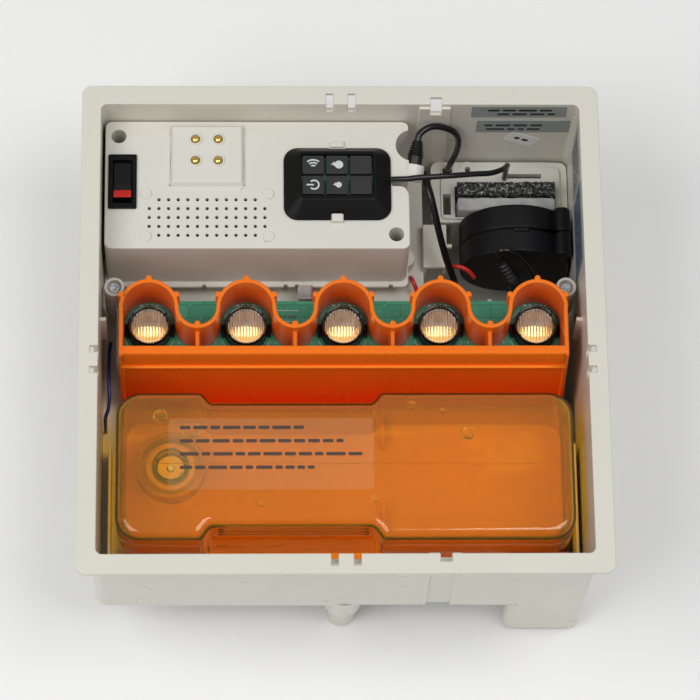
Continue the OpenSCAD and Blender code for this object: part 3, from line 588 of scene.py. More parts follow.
def moulded_plastic(name, colour, roughness, scale=2600, depth=0.5, wave=2.0, smudge=0.08, rub=0.05,
                    drift=0.04, fleck=0.02, dust=0.0, own=()):
    material, tree, shader, _ = start_material(name, own)
    shade = tinted(tree, colour, drift, 22, fleck)
    if dust:
        dusty = place_group(tree, DUST, {"Amount": dust})
        link(tree, (shade, dusty.inputs["Colour"]))
        shade = dusty.outputs[0]
    finish_surface(tree, shader, shade, roughness, smudge, rub, scale, depth, wave)
    return material


def metal(name, colour, roughness, scale=900, depth=0.3):
    material, tree, shader, _ = start_material(name, {"Metallic": 1})
    shade = tinted(tree, colour, 0.12, 300, 0.05)
    finish_surface(tree, shader, shade, roughness, 0.1, 0.12, scale, depth, 0.2)
    return material


def colour_ramp(tree, *stops):
    """A colour ramp from its stops, each a position and a colour."""
    ramp = add(tree, "ValToRGB")
    for end in (0, -1):
        ramp.color_ramp.elements[end].color = rgba(stops[end][1])
        ramp.color_ramp.elements[end].position = stops[end][0]
    for position, colour in stops[1:-1]:
        ramp.color_ramp.elements.new(position).color = rgba(colour)
    return ramp


def height_ramp(tree, low_z, high_z, *stops):
    """A colour that changes with height, between two heights in millimetres."""
    split = add(tree, "SeparateXYZ")
    share = add(tree, "MapRange", {"From Min": low_z * MM, "From Max": high_z * MM})
    ramp = colour_ramp(tree, *stops)
    link(
        tree,
        (object_points(tree), split.inputs[0]), (split.outputs["Z"], share.inputs["Value"]),
        (share.outputs[0], ramp.inputs[0]),
    )
    return ramp.outputs[0]


def orange_plastic(name, low_z, high_z, low_colour, high_colour, painted_edge_highlight):
    """Glossy orange plastic whose colour changes with height, darker low down on the nozzle as painted shade,
    with a painted highlight along its edges.
    """
    material, tree, shader, _ = start_material(
        name, {"Subsurface Weight": 0.1, "Subsurface Radius": (1, 0.25, 0.05), "Subsurface Scale": 3 * MM,
               "Specular IOR Level": 0.22},
    )
    # Painted shade: a colour ramp by height, which makes the nozzle's front darker low down.
    body = height_ramp(tree, low_z, high_z, (0, low_colour), (1, high_colour))
    # Painted highlight: the edge mask mixes a brighter colour onto the rounded edges.
    edges = place_group(tree, EDGE, {"Radius": 0.9 * MM, "Gain": 5})
    blend = add(tree, "Mix", data_type="RGBA")
    blend.inputs["B"].default_value = rgba(painted_edge_highlight)
    link(tree, (edges.outputs[0], blend.inputs["Factor"]), (body, blend.inputs["A"]))
    shade = tinted(tree, blend.outputs["Result"], 0.08, 30, 0.02)
    finish_surface(tree, shader, shade, 0.24, 0.08, 0.02, 2400, 0.25, 2.5)
    return material


def let_lamps_through(tree, shader, output, colour):
    """Swaps glass for clear colour where a shadow is looked up, so that light falls through it."""
    clear = add(tree, "BsdfTransparent", {"Color": rgba(colour)})
    path = add(tree, "LightPath")
    swap = add(tree, "MixShader")
    link(
        tree,
        (path.outputs["Is Shadow Ray"], swap.inputs[0]),
        (shader.outputs[0], swap.inputs[1]), (clear.outputs[0], swap.inputs[2]),
        (swap.outputs[0], output.inputs["Surface"]),
    )


def clear_plastic(name, colour, shadow_colour, roughness, own=(), drift=0.06, wave=2.0, smudge=0.04,
                  rim_colour=None):
    """Clear moulded plastic. A rim colour deepens it where it is looked at along its surface."""
    values = {"Transmission Weight": 1, "IOR": 1.49, **dict(own)}
    material, tree, shader, output = start_material(name, values)
    if rim_colour:
        facing = add(tree, "LayerWeight", {"Blend": 0.5})
        deep = add(tree, "MapRange", {"From Min": 0.3, "From Max": 0.85})
        blend = add(tree, "Mix", data_type="RGBA")
        blend.inputs["A"].default_value = rgba(colour)
        blend.inputs["B"].default_value = rgba(rim_colour)
        link(
            tree,
            (facing.outputs["Facing"], deep.inputs["Value"]), (deep.outputs[0], blend.inputs["Factor"]),
        )
        colour = blend.outputs["Result"]
    shade = tinted(tree, colour, drift, 18, 0.0)
    finish_surface(tree, shader, shade, roughness, smudge, 0.03, 900, 0.02, wave)
    let_lamps_through(tree, shader, output, shadow_colour)
    return material


def solder_mask():
    """Green board lacquer over copper planes, with bare pads."""
    material, tree, shader, _ = start_material("board_lacquer", {"Coat Weight": 0.5, "Coat Roughness": 0.15})
    points = object_points(tree)
    planes = add(
        tree, "TexBrick",
        {"Color1": rgba((0.045, 0.36, 0.19)), "Color2": rgba((0.07, 0.46, 0.26)),
         "Mortar": rgba((0.025, 0.22, 0.11)), "Mortar Size": 0.012, "Mortar Smooth": 0.1,
         "Scale": 60, "Brick Width": 0.9, "Row Height": 0.42},
    )
    vias = add(tree, "TexVoronoi", {"Scale": 260, "Randomness": 0.8})
    dots = add(tree, "Math", {1: 0.16}, operation="LESS_THAN")
    blend = add(tree, "Mix", data_type="RGBA")
    blend.inputs["B"].default_value = rgba((0.08, 0.5, 0.28))
    link(
        tree,
        (points, planes.inputs["Vector"]), (points, vias.inputs["Vector"]),
        (vias.outputs["Distance"], dots.inputs[0]), (dots.outputs[0], blend.inputs["Factor"]),
        (planes.outputs["Color"], blend.inputs["A"]),
    )
    shade = tinted(tree, blend.outputs["Result"], 0.1, 40, 0.04)
    finish_surface(tree, shader, shade, 0.3, 0.1, 0.05, 1800, 0.3, 0.8)
    return material


def open_foam():
    """Black open-cell foam with painted glints: white colour on some cut strands stands for where they catch
    the light.
    """
    material, tree, shader, _ = start_material("filter_foam_cells", {"Specular IOR Level": 0.8})
    points = object_points(tree)
    cells = add(tree, "TexVoronoi", {"Scale": 760}, feature="DISTANCE_TO_EDGE")
    strands = add(tree, "MapRange", {"From Min": 0.16, "From Max": 0.02})
    # Painted glints: noise picks strands that get a white base colour.
    painted_glints = add(tree, "TexNoise", {"Scale": 520, "Detail": 3, "Roughness": 0.8})
    picked = add(tree, "MapRange", {"From Min": 0.51, "From Max": 0.57})
    both = add(tree, "Math", operation="MULTIPLY", use_clamp=True)
    # The black is the foam's own colour, and the white is the painted glint colour.
    shade = add(tree, "Mix", data_type="RGBA")
    shade.inputs["A"].default_value = rgba((0.008, 0.008, 0.008))
    shade.inputs["B"].default_value = rgba((0.95, 0.95, 0.94))
    bump = add(tree, "Bump", {"Strength": 1, "Distance": 0.6 * MM})
    link(
        tree,
        (points, cells.inputs["Vector"]), (points, painted_glints.inputs["Vector"]),
        (cells.outputs["Distance"], strands.inputs["Value"]), (painted_glints.outputs[0], picked.inputs["Value"]),
        (strands.outputs[0], both.inputs[0]), (picked.outputs[0], both.inputs[1]),
        (both.outputs[0], shade.inputs["Factor"]),
        (tinted(tree, shade.outputs["Result"], 0.2, 120, 0.1), shader.inputs["Base Color"]),
        (strands.outputs[0], bump.inputs["Height"]), (bump.outputs[0], shader.inputs["Normal"]),
    )
    roughness = place_group(tree, MARKS, {"Roughness": 0.35, "Smudge": 0.3, "Rub": 0.1})
    link(tree, (roughness.outputs[0], shader.inputs["Roughness"]))
    return material


def needle_felt():
    """Light grey felt of tangled fibres."""
    material, tree, shader, _ = start_material(
        "filter_felt_fibres", {"Sheen Weight": 0.5, "Sheen Roughness": 0.5, "Specular IOR Level": 0.2}
    )
    points = object_points(tree)
    fibres = add(tree, "TexNoise", {"Scale": 1500, "Detail": 5, "Roughness": 0.8, "Distortion": 2.5})
    tufts = add(tree, "TexNoise", {"Scale": 190, "Detail": 4, "Roughness": 0.6})
    ramp = colour_ramp(tree, (0.3, (0.3, 0.3, 0.3)), (0.7, (0.62, 0.62, 0.61)))
    mean = add(tree, "Math", {1: 0.5}, operation="MULTIPLY_ADD")
    half = add(tree, "Math", {1: 0.5}, operation="MULTIPLY")
    bump = add(tree, "Bump", {"Strength": 0.8, "Distance": 0.25 * MM})
    roughness = place_group(tree, MARKS, {"Roughness": 0.85, "Smudge": 0.1, "Rub": 0})
    link(
        tree,
        (points, fibres.inputs["Vector"]), (points, tufts.inputs["Vector"]),
        (tufts.outputs[0], half.inputs[0]),
        (fibres.outputs[0], mean.inputs[0]), (half.outputs[0], mean.inputs[2]),
        (mean.outputs[0], ramp.inputs[0]), (ramp.outputs[0], shader.inputs["Base Color"]),
        (fibres.outputs[0], bump.inputs["Height"]), (bump.outputs[0], shader.inputs["Normal"]),
        (roughness.outputs[0], shader.inputs["Roughness"]),
    )
    return material


def painted_dish_glow(y):
    """The lamp's dish with a painted glow: emission that is dark at its back and amber from its middle to its
    front, standing for the lamp's light in it.
    """
    material, tree, shader, _ = start_material("lamp_dish_painted_glow", {"Metallic": 0.7})
    points = object_points(tree)
    split = add(tree, "SeparateXYZ")
    forward = add(tree, "MapRange", {"From Min": (y + 4.5) * MM, "From Max": (y - 7.5) * MM})
    # Painted glow and shade: an emission colour ramp from dark at the back to amber towards the front.
    ramp = colour_ramp(
        tree,
        (0, (0.01, 0.008, 0.006)), (0.35, (0.16, 0.06, 0.015)),
        (0.62, (1.0, 0.46, 0.08)), (1, (0.5, 0.27, 0.07)),
    )
    link(
        tree,
        (points, split.inputs[0]), (split.outputs["Y"], forward.inputs["Value"]),
        (forward.outputs[0], ramp.inputs[0]), (ramp.outputs[0], shader.inputs["Emission Color"]),
    )
    shader.inputs["Emission Strength"].default_value = 0.6
    shade = tinted(tree, (0.36, 0.34, 0.31), 0.1, 200, 0.05)
    finish_surface(tree, shader, shade, 0.25, 0.1, 0.05, 900, 0.3, 0.3)
    return material


def glowing_chip():
    """The lit chip in the middle of a lamp."""
    material, tree, shader, _ = start_material("lamp_chip_glow")
    points = object_points(tree)
    grain = add(tree, "TexNoise", {"Scale": 800, "Detail": 2})
    ramp = colour_ramp(tree, (0, (1, 0.45, 0.08)), (1, (1, 0.8, 0.35)))
    link(
        tree,
        (points, grain.inputs["Vector"]), (grain.outputs[0], ramp.inputs[0]),
        (ramp.outputs[0], shader.inputs["Emission Color"]),
    )
    shader.inputs["Emission Strength"].default_value = 2.4
    shade = tinted(tree, (0.9, 0.6, 0.2), 0.1, 200, 0.05)
    finish_surface(tree, shader, shade, 0.4, 0.1, 0.05, 900, 0.3, 0.3)
    return material


def wound_copper():
    """Copper wire wound in close turns."""
    material, tree, shader, _ = start_material("copper_winding", {"Metallic": 0.8})
    points = object_points(tree)
    turns = add(tree, "TexWave", {"Scale": 900, "Distortion": 1.2, "Detail": 2}, bands_direction="Y")
    bump = add(tree, "Bump", {"Strength": 0.8, "Distance": 0.3 * MM})
    roughness = place_group(tree, MARKS, {"Roughness": 0.3, "Smudge": 0.1, "Rub": 0.05})
    link(
        tree,
        (points, turns.inputs["Vector"]), (turns.outputs[1], bump.inputs["Height"]),
        (bump.outputs[0], shader.inputs["Normal"]),
        (tinted(tree, (0.6, 0.27, 0.1), 0.2, 200, 0.1), shader.inputs["Base Color"]),
        (roughness.outputs[0], shader.inputs["Roughness"]),
    )
    return material


CASING = moulded_plastic("casing_plastic", (0.72, 0.70, 0.61), 0.24, scale=2200, depth=0.25, wave=3.0,
                         smudge=0.10)
COVER = moulded_plastic("cover_plastic", (0.72, 0.705, 0.635), 0.34, scale=2600, depth=0.6, wave=1.5)
BEIGE = moulded_plastic("cradle_plastic", (0.74, 0.66, 0.47), 0.35, scale=2200, depth=0.4)
TRAY = moulded_plastic("tray_plastic", (0.70, 0.69, 0.64), 0.35, scale=2200, depth=0.4)
BLACK = moulded_plastic("blower_plastic", (0.006, 0.006, 0.007), 0.38, scale=1900, depth=1.5, wave=1.0,
                        smudge=0.12, rub=0.08, drift=0.2, fleck=0.2, dust=0.01,
                        own={"Specular IOR Level": 0.2})
SHELL_BLACK = moulded_plastic("keypad_plastic", (0.005, 0.005, 0.005), 0.36, scale=2600, depth=1.2, wave=0.6,
                              drift=0.15, fleck=0.15, own={"Specular IOR Level": 0.16})
GLOSS_BLACK = moulded_plastic("rocker_plastic", (0.005, 0.005, 0.005), 0.14, scale=2000, depth=0.1, wave=0.6,
                              drift=0.1, own={"Specular IOR Level": 0.4})
KEY_BLACK = moulded_plastic("key_plastic", (0.02, 0.02, 0.021), 0.4, scale=3000, depth=1.0, wave=0.4)
ROCKER_RED = moulded_plastic("rocker_red", (0.62, 0.012, 0.006), 0.22, scale=2000, depth=0.1, wave=0.6)
ICON_GREY = moulded_plastic("key_print", (0.62, 0.64, 0.64), 0.5, scale=3000, depth=0.2, wave=0)
CABLE = moulded_plastic("cable_sheath", (0.004, 0.004, 0.004), 0.22, scale=1200, depth=0.4, wave=1.2,
                        drift=0.2)
PLUG_RUBBER = moulded_plastic("plug_rubber", (0.004, 0.004, 0.004), 0.36, scale=1800, depth=0.8, wave=0.5)
WIRE_RED = moulded_plastic("red_wire", (0.55, 0.02, 0.012), 0.3, scale=1500, depth=0.3)
WIRE_BLUE = moulded_plastic("blue_wire", (0.015, 0.025, 0.16), 0.3, scale=1500, depth=0.3)
RIBBON = moulded_plastic("ribbon_grey", (0.5, 0.48, 0.48), 0.4, scale=1500, depth=0.3)
RIBBON_EDGE = moulded_plastic("ribbon_marked_edge", (0.55, 0.15, 0.15), 0.4, scale=1500, depth=0.3)
NYLON = moulded_plastic("white_nylon", (0.78, 0.77, 0.73), 0.4, scale=1800, depth=0.4)
CAP_YELLOW = moulded_plastic("cap_yellow", (0.95, 0.55, 0.02), 0.25, scale=1800, depth=0.3,
                             own={"Subsurface Weight": 0.2, "Subsurface Scale": 2 * MM})
SEAL = moulded_plastic("seal_rubber", (0.03, 0.03, 0.03), 0.6, scale=1800, depth=0.6)
LABEL_GREY = moulded_plastic("label_grey", (0.3, 0.33, 0.33), 0.35, scale=1500, depth=0.1, wave=2)
LABEL_BLUE = moulded_plastic("label_blue", (0.16, 0.22, 0.31), 0.3, scale=1500, depth=0.1, wave=2)
LABEL_WHITE = moulded_plastic("label_white", (0.85, 0.85, 0.82), 0.4, scale=1500, depth=0.1, wave=2)
PRINT = moulded_plastic("label_print", (0.015, 0.015, 0.016), 0.5, scale=1500, depth=0.1)
PRINT_SOFT = moulded_plastic("sticker_print", (0.07, 0.04, 0.025), 0.5, scale=1500, depth=0.1)
SILKSCREEN = moulded_plastic("board_print", (0.75, 0.8, 0.74), 0.5, scale=1500, depth=0.1)
GOLD = metal("contact_gold", (0.93, 0.62, 0.17), 0.12)
ZINC = metal("screw_zinc", (0.66, 0.68, 0.7), 0.22)
SOLDER = metal("solder_tin", (0.7, 0.7, 0.68), 0.25)
COPPER = wound_copper()
BOARD = solder_mask()
FOAM = open_foam()
FELT = needle_felt()
# Nozzle colours low and high, then its edge colour: the deep red low down is painted shade, the bright top a
# painted lit band, the edge colour a painted highlight.
NOZZLE = orange_plastic("nozzle_orange", 58, 103,
                        (0.72, 0.016, 0.003), (0.95, 0.19, 0.012), (1.0, 0.32, 0.03))
# Painted highlight: brighter orange for the bead along the nozzle's ridge, standing for the bright line
# there.
NOZZLE_PAINTED_HIGHLIGHT = orange_plastic("nozzle_ridge_painted_highlight", 90, 94,
                               (0.95, 0.16, 0.004), (1.0, 0.3, 0.02), (1.0, 0.42, 0.06))
# The sump's colour changes with height, and its edge colour is a painted highlight.
SUMP = orange_plastic("sump_orange", 46, 58, (0.84, 0.36, 0.05), (0.80, 0.22, 0.02), (0.95, 0.3, 0.03))
TANK = clear_plastic("tank_amber", (0.84, 0.63, 0.12), (0.97, 0.87, 0.5), 0.03,
                     {"Transmission Weight": 0.94}, wave=5.0, rim_colour=(0.42, 0.06, 0.002))
DROP = clear_plastic("water_drop", (1, 0.96, 0.9), (1, 0.95, 0.85), 0.0, {"IOR": 1.33}, wave=0.5)
LENS = clear_plastic("lamp_clear", (0.97, 0.96, 0.94), (1, 0.98, 0.95), 0.02, wave=0.5)
CHIP = glowing_chip()
DISH_PAINTED_GLOW = painted_dish_glow(LAMP_Y)

# ---- Leads: the same routes as in the CAD source ----

ROUTES = {
    "keypad_lead": [
        (25, 81.85, 107), (29, 82, 107), (33, 82.2, 106.8), (38, 83, 106.5), (47, 84, 105.5),
        (57, 85.5, 103.5), (67, 87.8, 100), (75, 90, 96), (81, 94, 91), (84, 98.5, 85),
        (85, 102, 78), (85, 103.5, 70), (85, 104, 63), (85, 104, 57),
    ],
    "power_lead": [
        (38.7, 103.8, 103.9), (39.6, 107, 105), (43, 109.8, 105.5), (47, 111.5, 104.6), (52, 112.2, 101.5),
        (56.5, 112.4, 97), (59.5, 112.2, 90), (60.3, 111.6, 82), (59.6, 110.8, 73), (57.6, 109.5, 64),
        (56.2, 108.8, 57), (56, 108.8, 50),
    ],
    "twin_lead": [
        (33, 101.6, 60.1), (33.4, 101.6, 68), (34.8, 101, 77), (37.4, 99, 84.5), (40.4, 95, 89),
        (42.6, 89.8, 90.4), (44.2, 84.5, 90.6), (45.8, 79, 89), (47.8, 72, 84.5), (50, 65, 78),
        (53.6, 56, 68), (56.5, 51, 61), (58.5, 48.5, 54), (60, 47, 46),
    ],
    "blower_lead": [
        (80.2, 50.1, 78.1), (79, 51.2, 80), (78.2, 52, 82.2), (78.6, 52.5, 84.4), (80.6, 52.7, 85.9),
        (84, 52.6, 85.6), (88, 51.6, 82.6), (92.5, 49.6, 77), (96.5, 46.6, 70.5), (99.6, 43.6, 63),
        (101, 41.8, 55), (101.5, 41, 46),
    ],
    "red_wire_long": [
        (36.8, 52.5, 50), (36.8, 50.5, 54), (37.2, 48, 57), (38.4, 45.5, 56.5), (40, 43, 53.5),
        (43.5, 42, 50.2), (47, 42, 44), (48, 42, 36),
    ],
    "red_wire_short": [(57, 55, 59), (60, 54.4, 60.4), (63, 53.4, 60.4), (66, 52, 59), (68.5, 50, 56)],
    "blue_wire": [
        (-113.6, 12, 64), (-114, 6, 68), (-114, 0, 72), (-114, -7, 74.5), (-113.8, -14, 74.5),
        (-113.6, -20, 73), (-114.2, -25, 70), (-115.6, -28, 66), (-115.9, -29.5, 58), (-116, -30, 50),
    ],
}


def make_lead(name, radius, material, replaced):
    path = smooth_path(ROUTES[name])
    bm = bmesh.new()
    sweep(bm, path, round_section(radius))
    piece = piece_from_bmesh(bm, name + "_sheath", material, "casing", replaced)
    sharpen(piece, 60)


def make_twin_lead():
    """Two cores side by side under one sheath, with a groove between them."""
    core, apart = 1.1, 0.85
    path = smooth_path(ROUTES["twin_lead"])
    section = []
    for i in range(28):
        angle = math.tau * i / 28
        side = apart if math.cos(angle) > 0 else -apart
        section.append((side + core * math.cos(angle), core * math.sin(angle)))
    bm = bmesh.new()
    sweep(bm, path, section)
    piece_from_bmesh(bm, "twin_lead_sheath", CABLE, "casing", ["twin_lead"])


make_lead("keypad_lead", 1.4, CABLE, ["keypad_lead"])
make_lead("power_lead", 1.65, CABLE, ["power_lead"])
make_twin_lead()
make_lead("blower_lead", 1.4, CABLE, ["blower_lead"])
make_lead("red_wire_long", 1.1, WIRE_RED, ["red_wires"])
make_lead("red_wire_short", 1.1, WIRE_RED, ["red_wires"])
make_lead("blue_wire", 0.9, WIRE_BLUE, ["blue_wire"])


def make_ribbon():
    """Flat cable of eight cores that climbs from under the control box to the lamp board."""
    low_x, high_x, cores = -20.5, -13.2, 8
    pitch = (high_x - low_x) / cores
    route = smooth_path([
        (0, 43.5, 61.6), (0, 39.5, 61.6), (0, 36.2, 64), (0, 33.2, 68), (0, 31.2, 71.5), (0, 31, 76.4),
    ])
    bm = bmesh.new()
    for i in range(cores):
        centre = low_x + (i + 0.5) * pitch
        path = [Vector((centre, p.y, p.z)) for p in route]
        before = len(bm.faces)
        sweep(bm, path, round_section(pitch * 0.52, 10))
        bm.faces.ensure_lookup_table()
        for face in bm.faces[before:]:
            face.material_index = 1 if i == cores - 1 else 0
    piece_from_bmesh(bm, "ribbon_cores", [RIBBON, RIBBON_EDGE], "casing", ["ribbon_cable"])


make_ribbon()

# ---- Casing and what is stuck to it ----

moulded("casing", "casing_shell", CASING, 0.6, 3)
moulded("mains_gland", "gland_ring", BLACK, 0.4)


def make_ejector_marks():
    """Faint round marks that the mould's pins left on the rim."""
    half_w, half_d = 122.4, 120.6
    spots = [(x, side * half_d) for side in (-1, 1) for x in (-104, -72, -38, 22, 66, 100)]
    spots += [(side * half_w, y) for side in (-1, 1) for y in (-92, -56, 18, 52, 86)]
    bm = bmesh.new()
    profile = [(2.35, RIM_Z - 0.3), (2.35, RIM_Z - 0.02), (2.2, RIM_Z + 0.03), (2.1, RIM_Z + 0.03)]
    for spot in spots:
        turned(bm, spot, profile, 28)
    sharpen(piece_from_bmesh(bm, "rim_ejector_marks", CASING, "casing"), 50)


WORD_GAP = 1.4
SHORTEST_WORD = 2


def word_bars(low_x, high_x, y, height, seed):
    """A line of print, as plain bars of different lengths."""
    dice = random.Random(seed)
    bars = []
    x = low_x
    while x < high_x - SHORTEST_WORD:
        width = min(dice.uniform(3.0, 9.5), high_x - x)
        bars.append(rounded_rect((x, x + width), (y - height / 2, y + height / 2), height * 0.3, 2))
        x += width + WORD_GAP
    return bars


def wall_place(origin, right, up):
    """A matrix, in millimetres, that stands a flat outline on a wall."""
    right, up = Vector(right).normalized(), Vector(up).normalized()
    out = right.cross(up)
    place = Matrix((right, up, out)).transposed().to_4x4()
    place.translation = Vector(origin)
    return place


def make_label(name, size, place, material, rows, seed):
    """A stuck label with round corners, and its print as plain bars."""
    plate = rounded_rect((0, size[0]), (0, size[1]), 1.0, 4)
    flat_piece(name, [plate], 0.0, 0.14, material, "casing", place)
    bars = []
    for k, (start, end, y, height) in enumerate(rows):
        bars += word_bars(start, end, y, height, seed + k)
    flat_piece(name + "_print", bars, 0.13, 0.18, PRINT, "casing", place)


BACK_WALL = 115.5
RIGHT_WALL = 117.5

make_ejector_marks()
make_label("back_label_top", (47.3, 12.5), wall_place((65, BACK_WALL, 107), (1, 0, 0), (0, 0, 1)), LABEL_GREY,
           [(8, 43, 8.2, 2.2), (13, 43, 3.8, 2.2)], 11)
make_label("back_label_low", (47, 14), wall_place((68.5, BACK_WALL, 89), (1, 0, 0), (0, 0, 1)), LABEL_GREY,
           [(4, 33, 8.4, 2.2), (5, 32, 3.9, 2.0)], 21)
make_label("back_tag", (17, 10.5), wall_place((82.4, BACK_WALL - 0.02, 80.2), (14.4, 0, -8.7), (5.8, 0, 9.8)),
           LABEL_WHITE, [(4, 12, 5.4, 2.4)], 31)
make_label("side_label_grey", (27, 34), wall_place((RIGHT_WALL, 108, 80), (0, -1, 0), (0, 0, 1)), LABEL_GREY,
           [(3, 24, 28 - 4 * k, 1.3) for k in range(6)], 41)
make_label("side_label_blue", (42, 34), wall_place((RIGHT_WALL, 79, 80), (0, -1, 0), (0, 0, 1)), LABEL_BLUE,
           [(3, 38, 28 - 4 * k, 1.3) for k in range(6)], 51)

# ---- Control box ----


def within(value, span):
    return span[0] < value < span[1]


COVER_FOOT, COVER_CEILING, GRILLE_TOP = 61, 102.1, 104.3
COVER_INSIDE = ((-114.5, 32.5), (47.5, 113.8))
COVER_GRILLE = ((-97, -34), (51.2, 74.0))
ROCKER_SOCKET = ((-114.5, -100), (66, 97))
KEYPAD_LEAD_Y = (78, 86)
SCREW_HOLE, PLUG_NOTCH, CONTACT_HOLE = 4.2, 13.0, 2.6
COVER_HOLES = [(-109.3, 106.2, SCREW_HOLE), (27.3, 53.8, SCREW_HOLE), (36.2, 101.6, PLUG_NOTCH)]
COVER_HOLES += [(x, y, CONTACT_HOLE) for x in CONTACT_X for y in CONTACT_Y]


def cover_openings(x, y, z):
    """Where the cover's edges stay sharp: inside it, and round its holes, its socket and its bezel."""
    if z < COVER_FOOT:
        return True
    if z < COVER_CEILING and within(x, COVER_INSIDE[0]) and within(y, COVER_INSIDE[1]):
        return True
    return (
        any(math.hypot(x - cx, y - cy) < reach for cx, cy, reach in COVER_HOLES)
        or (within(x, COVER_GRILLE[0]) and within(y, COVER_GRILLE[1]) and z < GRILLE_TOP)
        or (within(x, ROCKER_SOCKET[0]) and within(y, ROCKER_SOCKET[1]))
        or (24 < x and within(y, KEYPAD_LEAD_Y))
    )


moulded("control_cover", "cover_shell", COVER, 0.8, 3, left_sharp=cover_openings)
moulded("control_base", "base_plate", COVER, 0.4)
moulded("control_board", "circuit_board", BOARD, 0.2)
moulded("speaker", "speaker_unit", BLACK, 0.4)
moulded("screws", "screw_set", ZINC, 0.2)


def make_switch_marks():
    """The raised bar and ring beside the rocker, for on and off."""
    x, bar_y, ring_y = -107.3, 100.6, 61.0
    top = 104.0
    bar = rounded_rect((x - 0.45, x + 0.45), (bar_y - 2.2, bar_y + 2.2), 0.3, 2)
    bm = bmesh.new()
    add_prism(bm, bar, top - 0.2, top + 0.3)
    for low, high in ((3.0, 3.3), (1.1, 1.4)):
        rings = [circle_points((x, ring_y), r, z, 40)
                 for r, z in ((low, top - 0.2), (low, top + 0.25), (high, top + 0.25), (high, top - 0.2))]
        loft(bm, rings, close=True)
    sharpen(piece_from_bmesh(bm, "switch_marks", COVER, "casing"), 50)


ROCKER_Y = 81.5
RED_FROM = 4.4


def red_end(centre, normal):
    """The front end of the rocker is red."""
    return 1 if centre.y < ROCKER_Y - RED_FROM and normal.z > 0.3 else 0


make_switch_marks()
moulded("rocker_bezel", "rocker_frame", SHELL_BLACK, 0.45, 3)
moulded("rocker_paddle", "rocker_lever", [GLOSS_BLACK, ROCKER_RED], 0.25, 2, red_end)
moulded("contact_barrels", "contact_tubes", GOLD, 0.1)
for number in range(1, 5):
    moulded(f"contact_pin_{number}", f"contact_plunger_{number}", GOLD, 0.2)

# ---- Keypad ----

KEY_TOP = 110.7
KEY_X = [-13.5, -1.8, 10]
KEY_Y = [88.15, 77.35]


def flame(centre, size):
    """A flame lying on its side, its tip to the left."""
    shape = [
        (-1.0, 0.05), (-0.62, 0.2), (-0.5, 0.52), (-0.36, 0.26), (-0.12, 0.5), (0.08, 0.62), (0.42, 0.6),
        (0.74, 0.38), (0.86, 0.02), (0.76, -0.36), (0.46, -0.6), (0.1, -0.64), (-0.16, -0.5), (-0.4, -0.22),
        (-0.66, -0.04),
    ]
    return [(centre[0] + size * u, centre[1] + size * v) for u, v in shape[::-1]]


def key_marks(x, y):
    """The printed signs of keys 1, 2, 4 and 5."""
    waves = [arc_band((x, y - 2.0), radius, 0.75, 50, 130, 12) for radius in (1.5, 3.0, 4.5)]
    power = [
        arc_band((x + 0.4, y), 2.3, 0.8, -135, 135, 28),
        rounded_rect((x - 3.4, x + 0.3), (y - 0.4, y + 0.4), 0.3, 2),
    ]
    return {1: waves, 2: [flame((x + 0.2, y), 3.4)], 4: power, 5: [flame((x + 0.2, y), 2.4)]}


moulded("keypad_shell", "keypad_housing", SHELL_BLACK, 0.5, 3)
moulded("keypad_board", "keypad_circuit", BOARD, 0.15)
for number in range(1, 7):
    key = (KEY_X[(number - 1) % 3], KEY_Y[(number - 1) // 3])
    moulded(f"key_{number}", f"key_cap_{number}", KEY_BLACK, 0.35, 3)
    marks = key_marks(*key).get(number)
    if marks:
        flat_piece(f"key_sign_{number}", marks, KEY_TOP - 0.05, KEY_TOP + 0.03, ICON_GREY,
                   f"key_{number}")

# ---- Filter ----


def rough_block(low, high, step, radius, shift):
    """A block of small faces with soft edges, whose surface is moved by a rule."""
    bm = bmesh.new()
    counts = [max(2, round((high[k] - low[k]) / step)) for k in range(3)]
    grid = {}

    def vertex(i, j, k):
        if (i, j, k) not in grid:
            point = Vector([low[a] + (high[a] - low[a]) * (i, j, k)[a] / counts[a] for a in range(3)])
            core = Vector([min(max(point[a], low[a] + radius), high[a] - radius) for a in range(3)])
            outward = (point - core).normalized()
            grid[i, j, k] = bm.verts.new((core + outward * (radius + shift(point, outward))) * MM)
        return grid[i, j, k]

    for axis in range(3):
        u, v = [a for a in range(3) if a != axis]
        for side in (0, counts[axis]):
            for a in range(counts[u]):
                for b in range(counts[v]):
                    corner = []
                    for da, db in ((0, 0), (1, 0), (1, 1), (0, 1)):
                        at = [0, 0, 0]
                        at[axis], at[u], at[v] = side, a + da, b + db
                        corner.append(vertex(*at))
                    bm.faces.new(corner)
    return bm


FOAM_CELL = 1.15
FOAM_STRAND = 0.34


def foam_shift(point, outward):
    """Cut cells: pits that reach in from the surface, and a torn top."""
    cell = noise.voronoi(point / FOAM_CELL)[0]
    wall = cell[1] - cell[0]
    pit = max(0.0, FOAM_STRAND - wall) / FOAM_STRAND
    torn = 0.45 * noise.noise(point / 2.6) if outward.z > 0.5 else 0
    return min(0.0, -0.95 * (1 - pit) + 0.1 * noise.noise(point / 0.6)) + torn - 0.3


def felt_shift(point, outward):
    """A fluffy surface, fuller at its top edge."""
    fluff = 0.16 * noise.noise(point / 0.9) + 0.3 * noise.noise(point / 4.5)
    top = 0.3 * noise.noise(Vector((point.x / 7, 3, 1))) if outward.z > 0.5 else 0
    return fluff + top - 0.35


def make_filter():
    foam_low, foam_high = (Vector(corner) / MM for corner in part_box("filter_foam"))
    felt_low, felt_high = (Vector(corner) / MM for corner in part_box("filter_felt"))
    bm = rough_block(foam_low, foam_high, 0.42, 0.5, foam_shift)
    foam = piece_from_bmesh(bm, "filter_foam_block", FOAM, "filter", ["filter_foam"])
    bm = rough_block(felt_low, felt_high, 0.6, 1.6, felt_shift)
    felt = piece_from_bmesh(bm, "filter_felt_pad", FELT, "filter", ["filter_felt"])


make_filter()


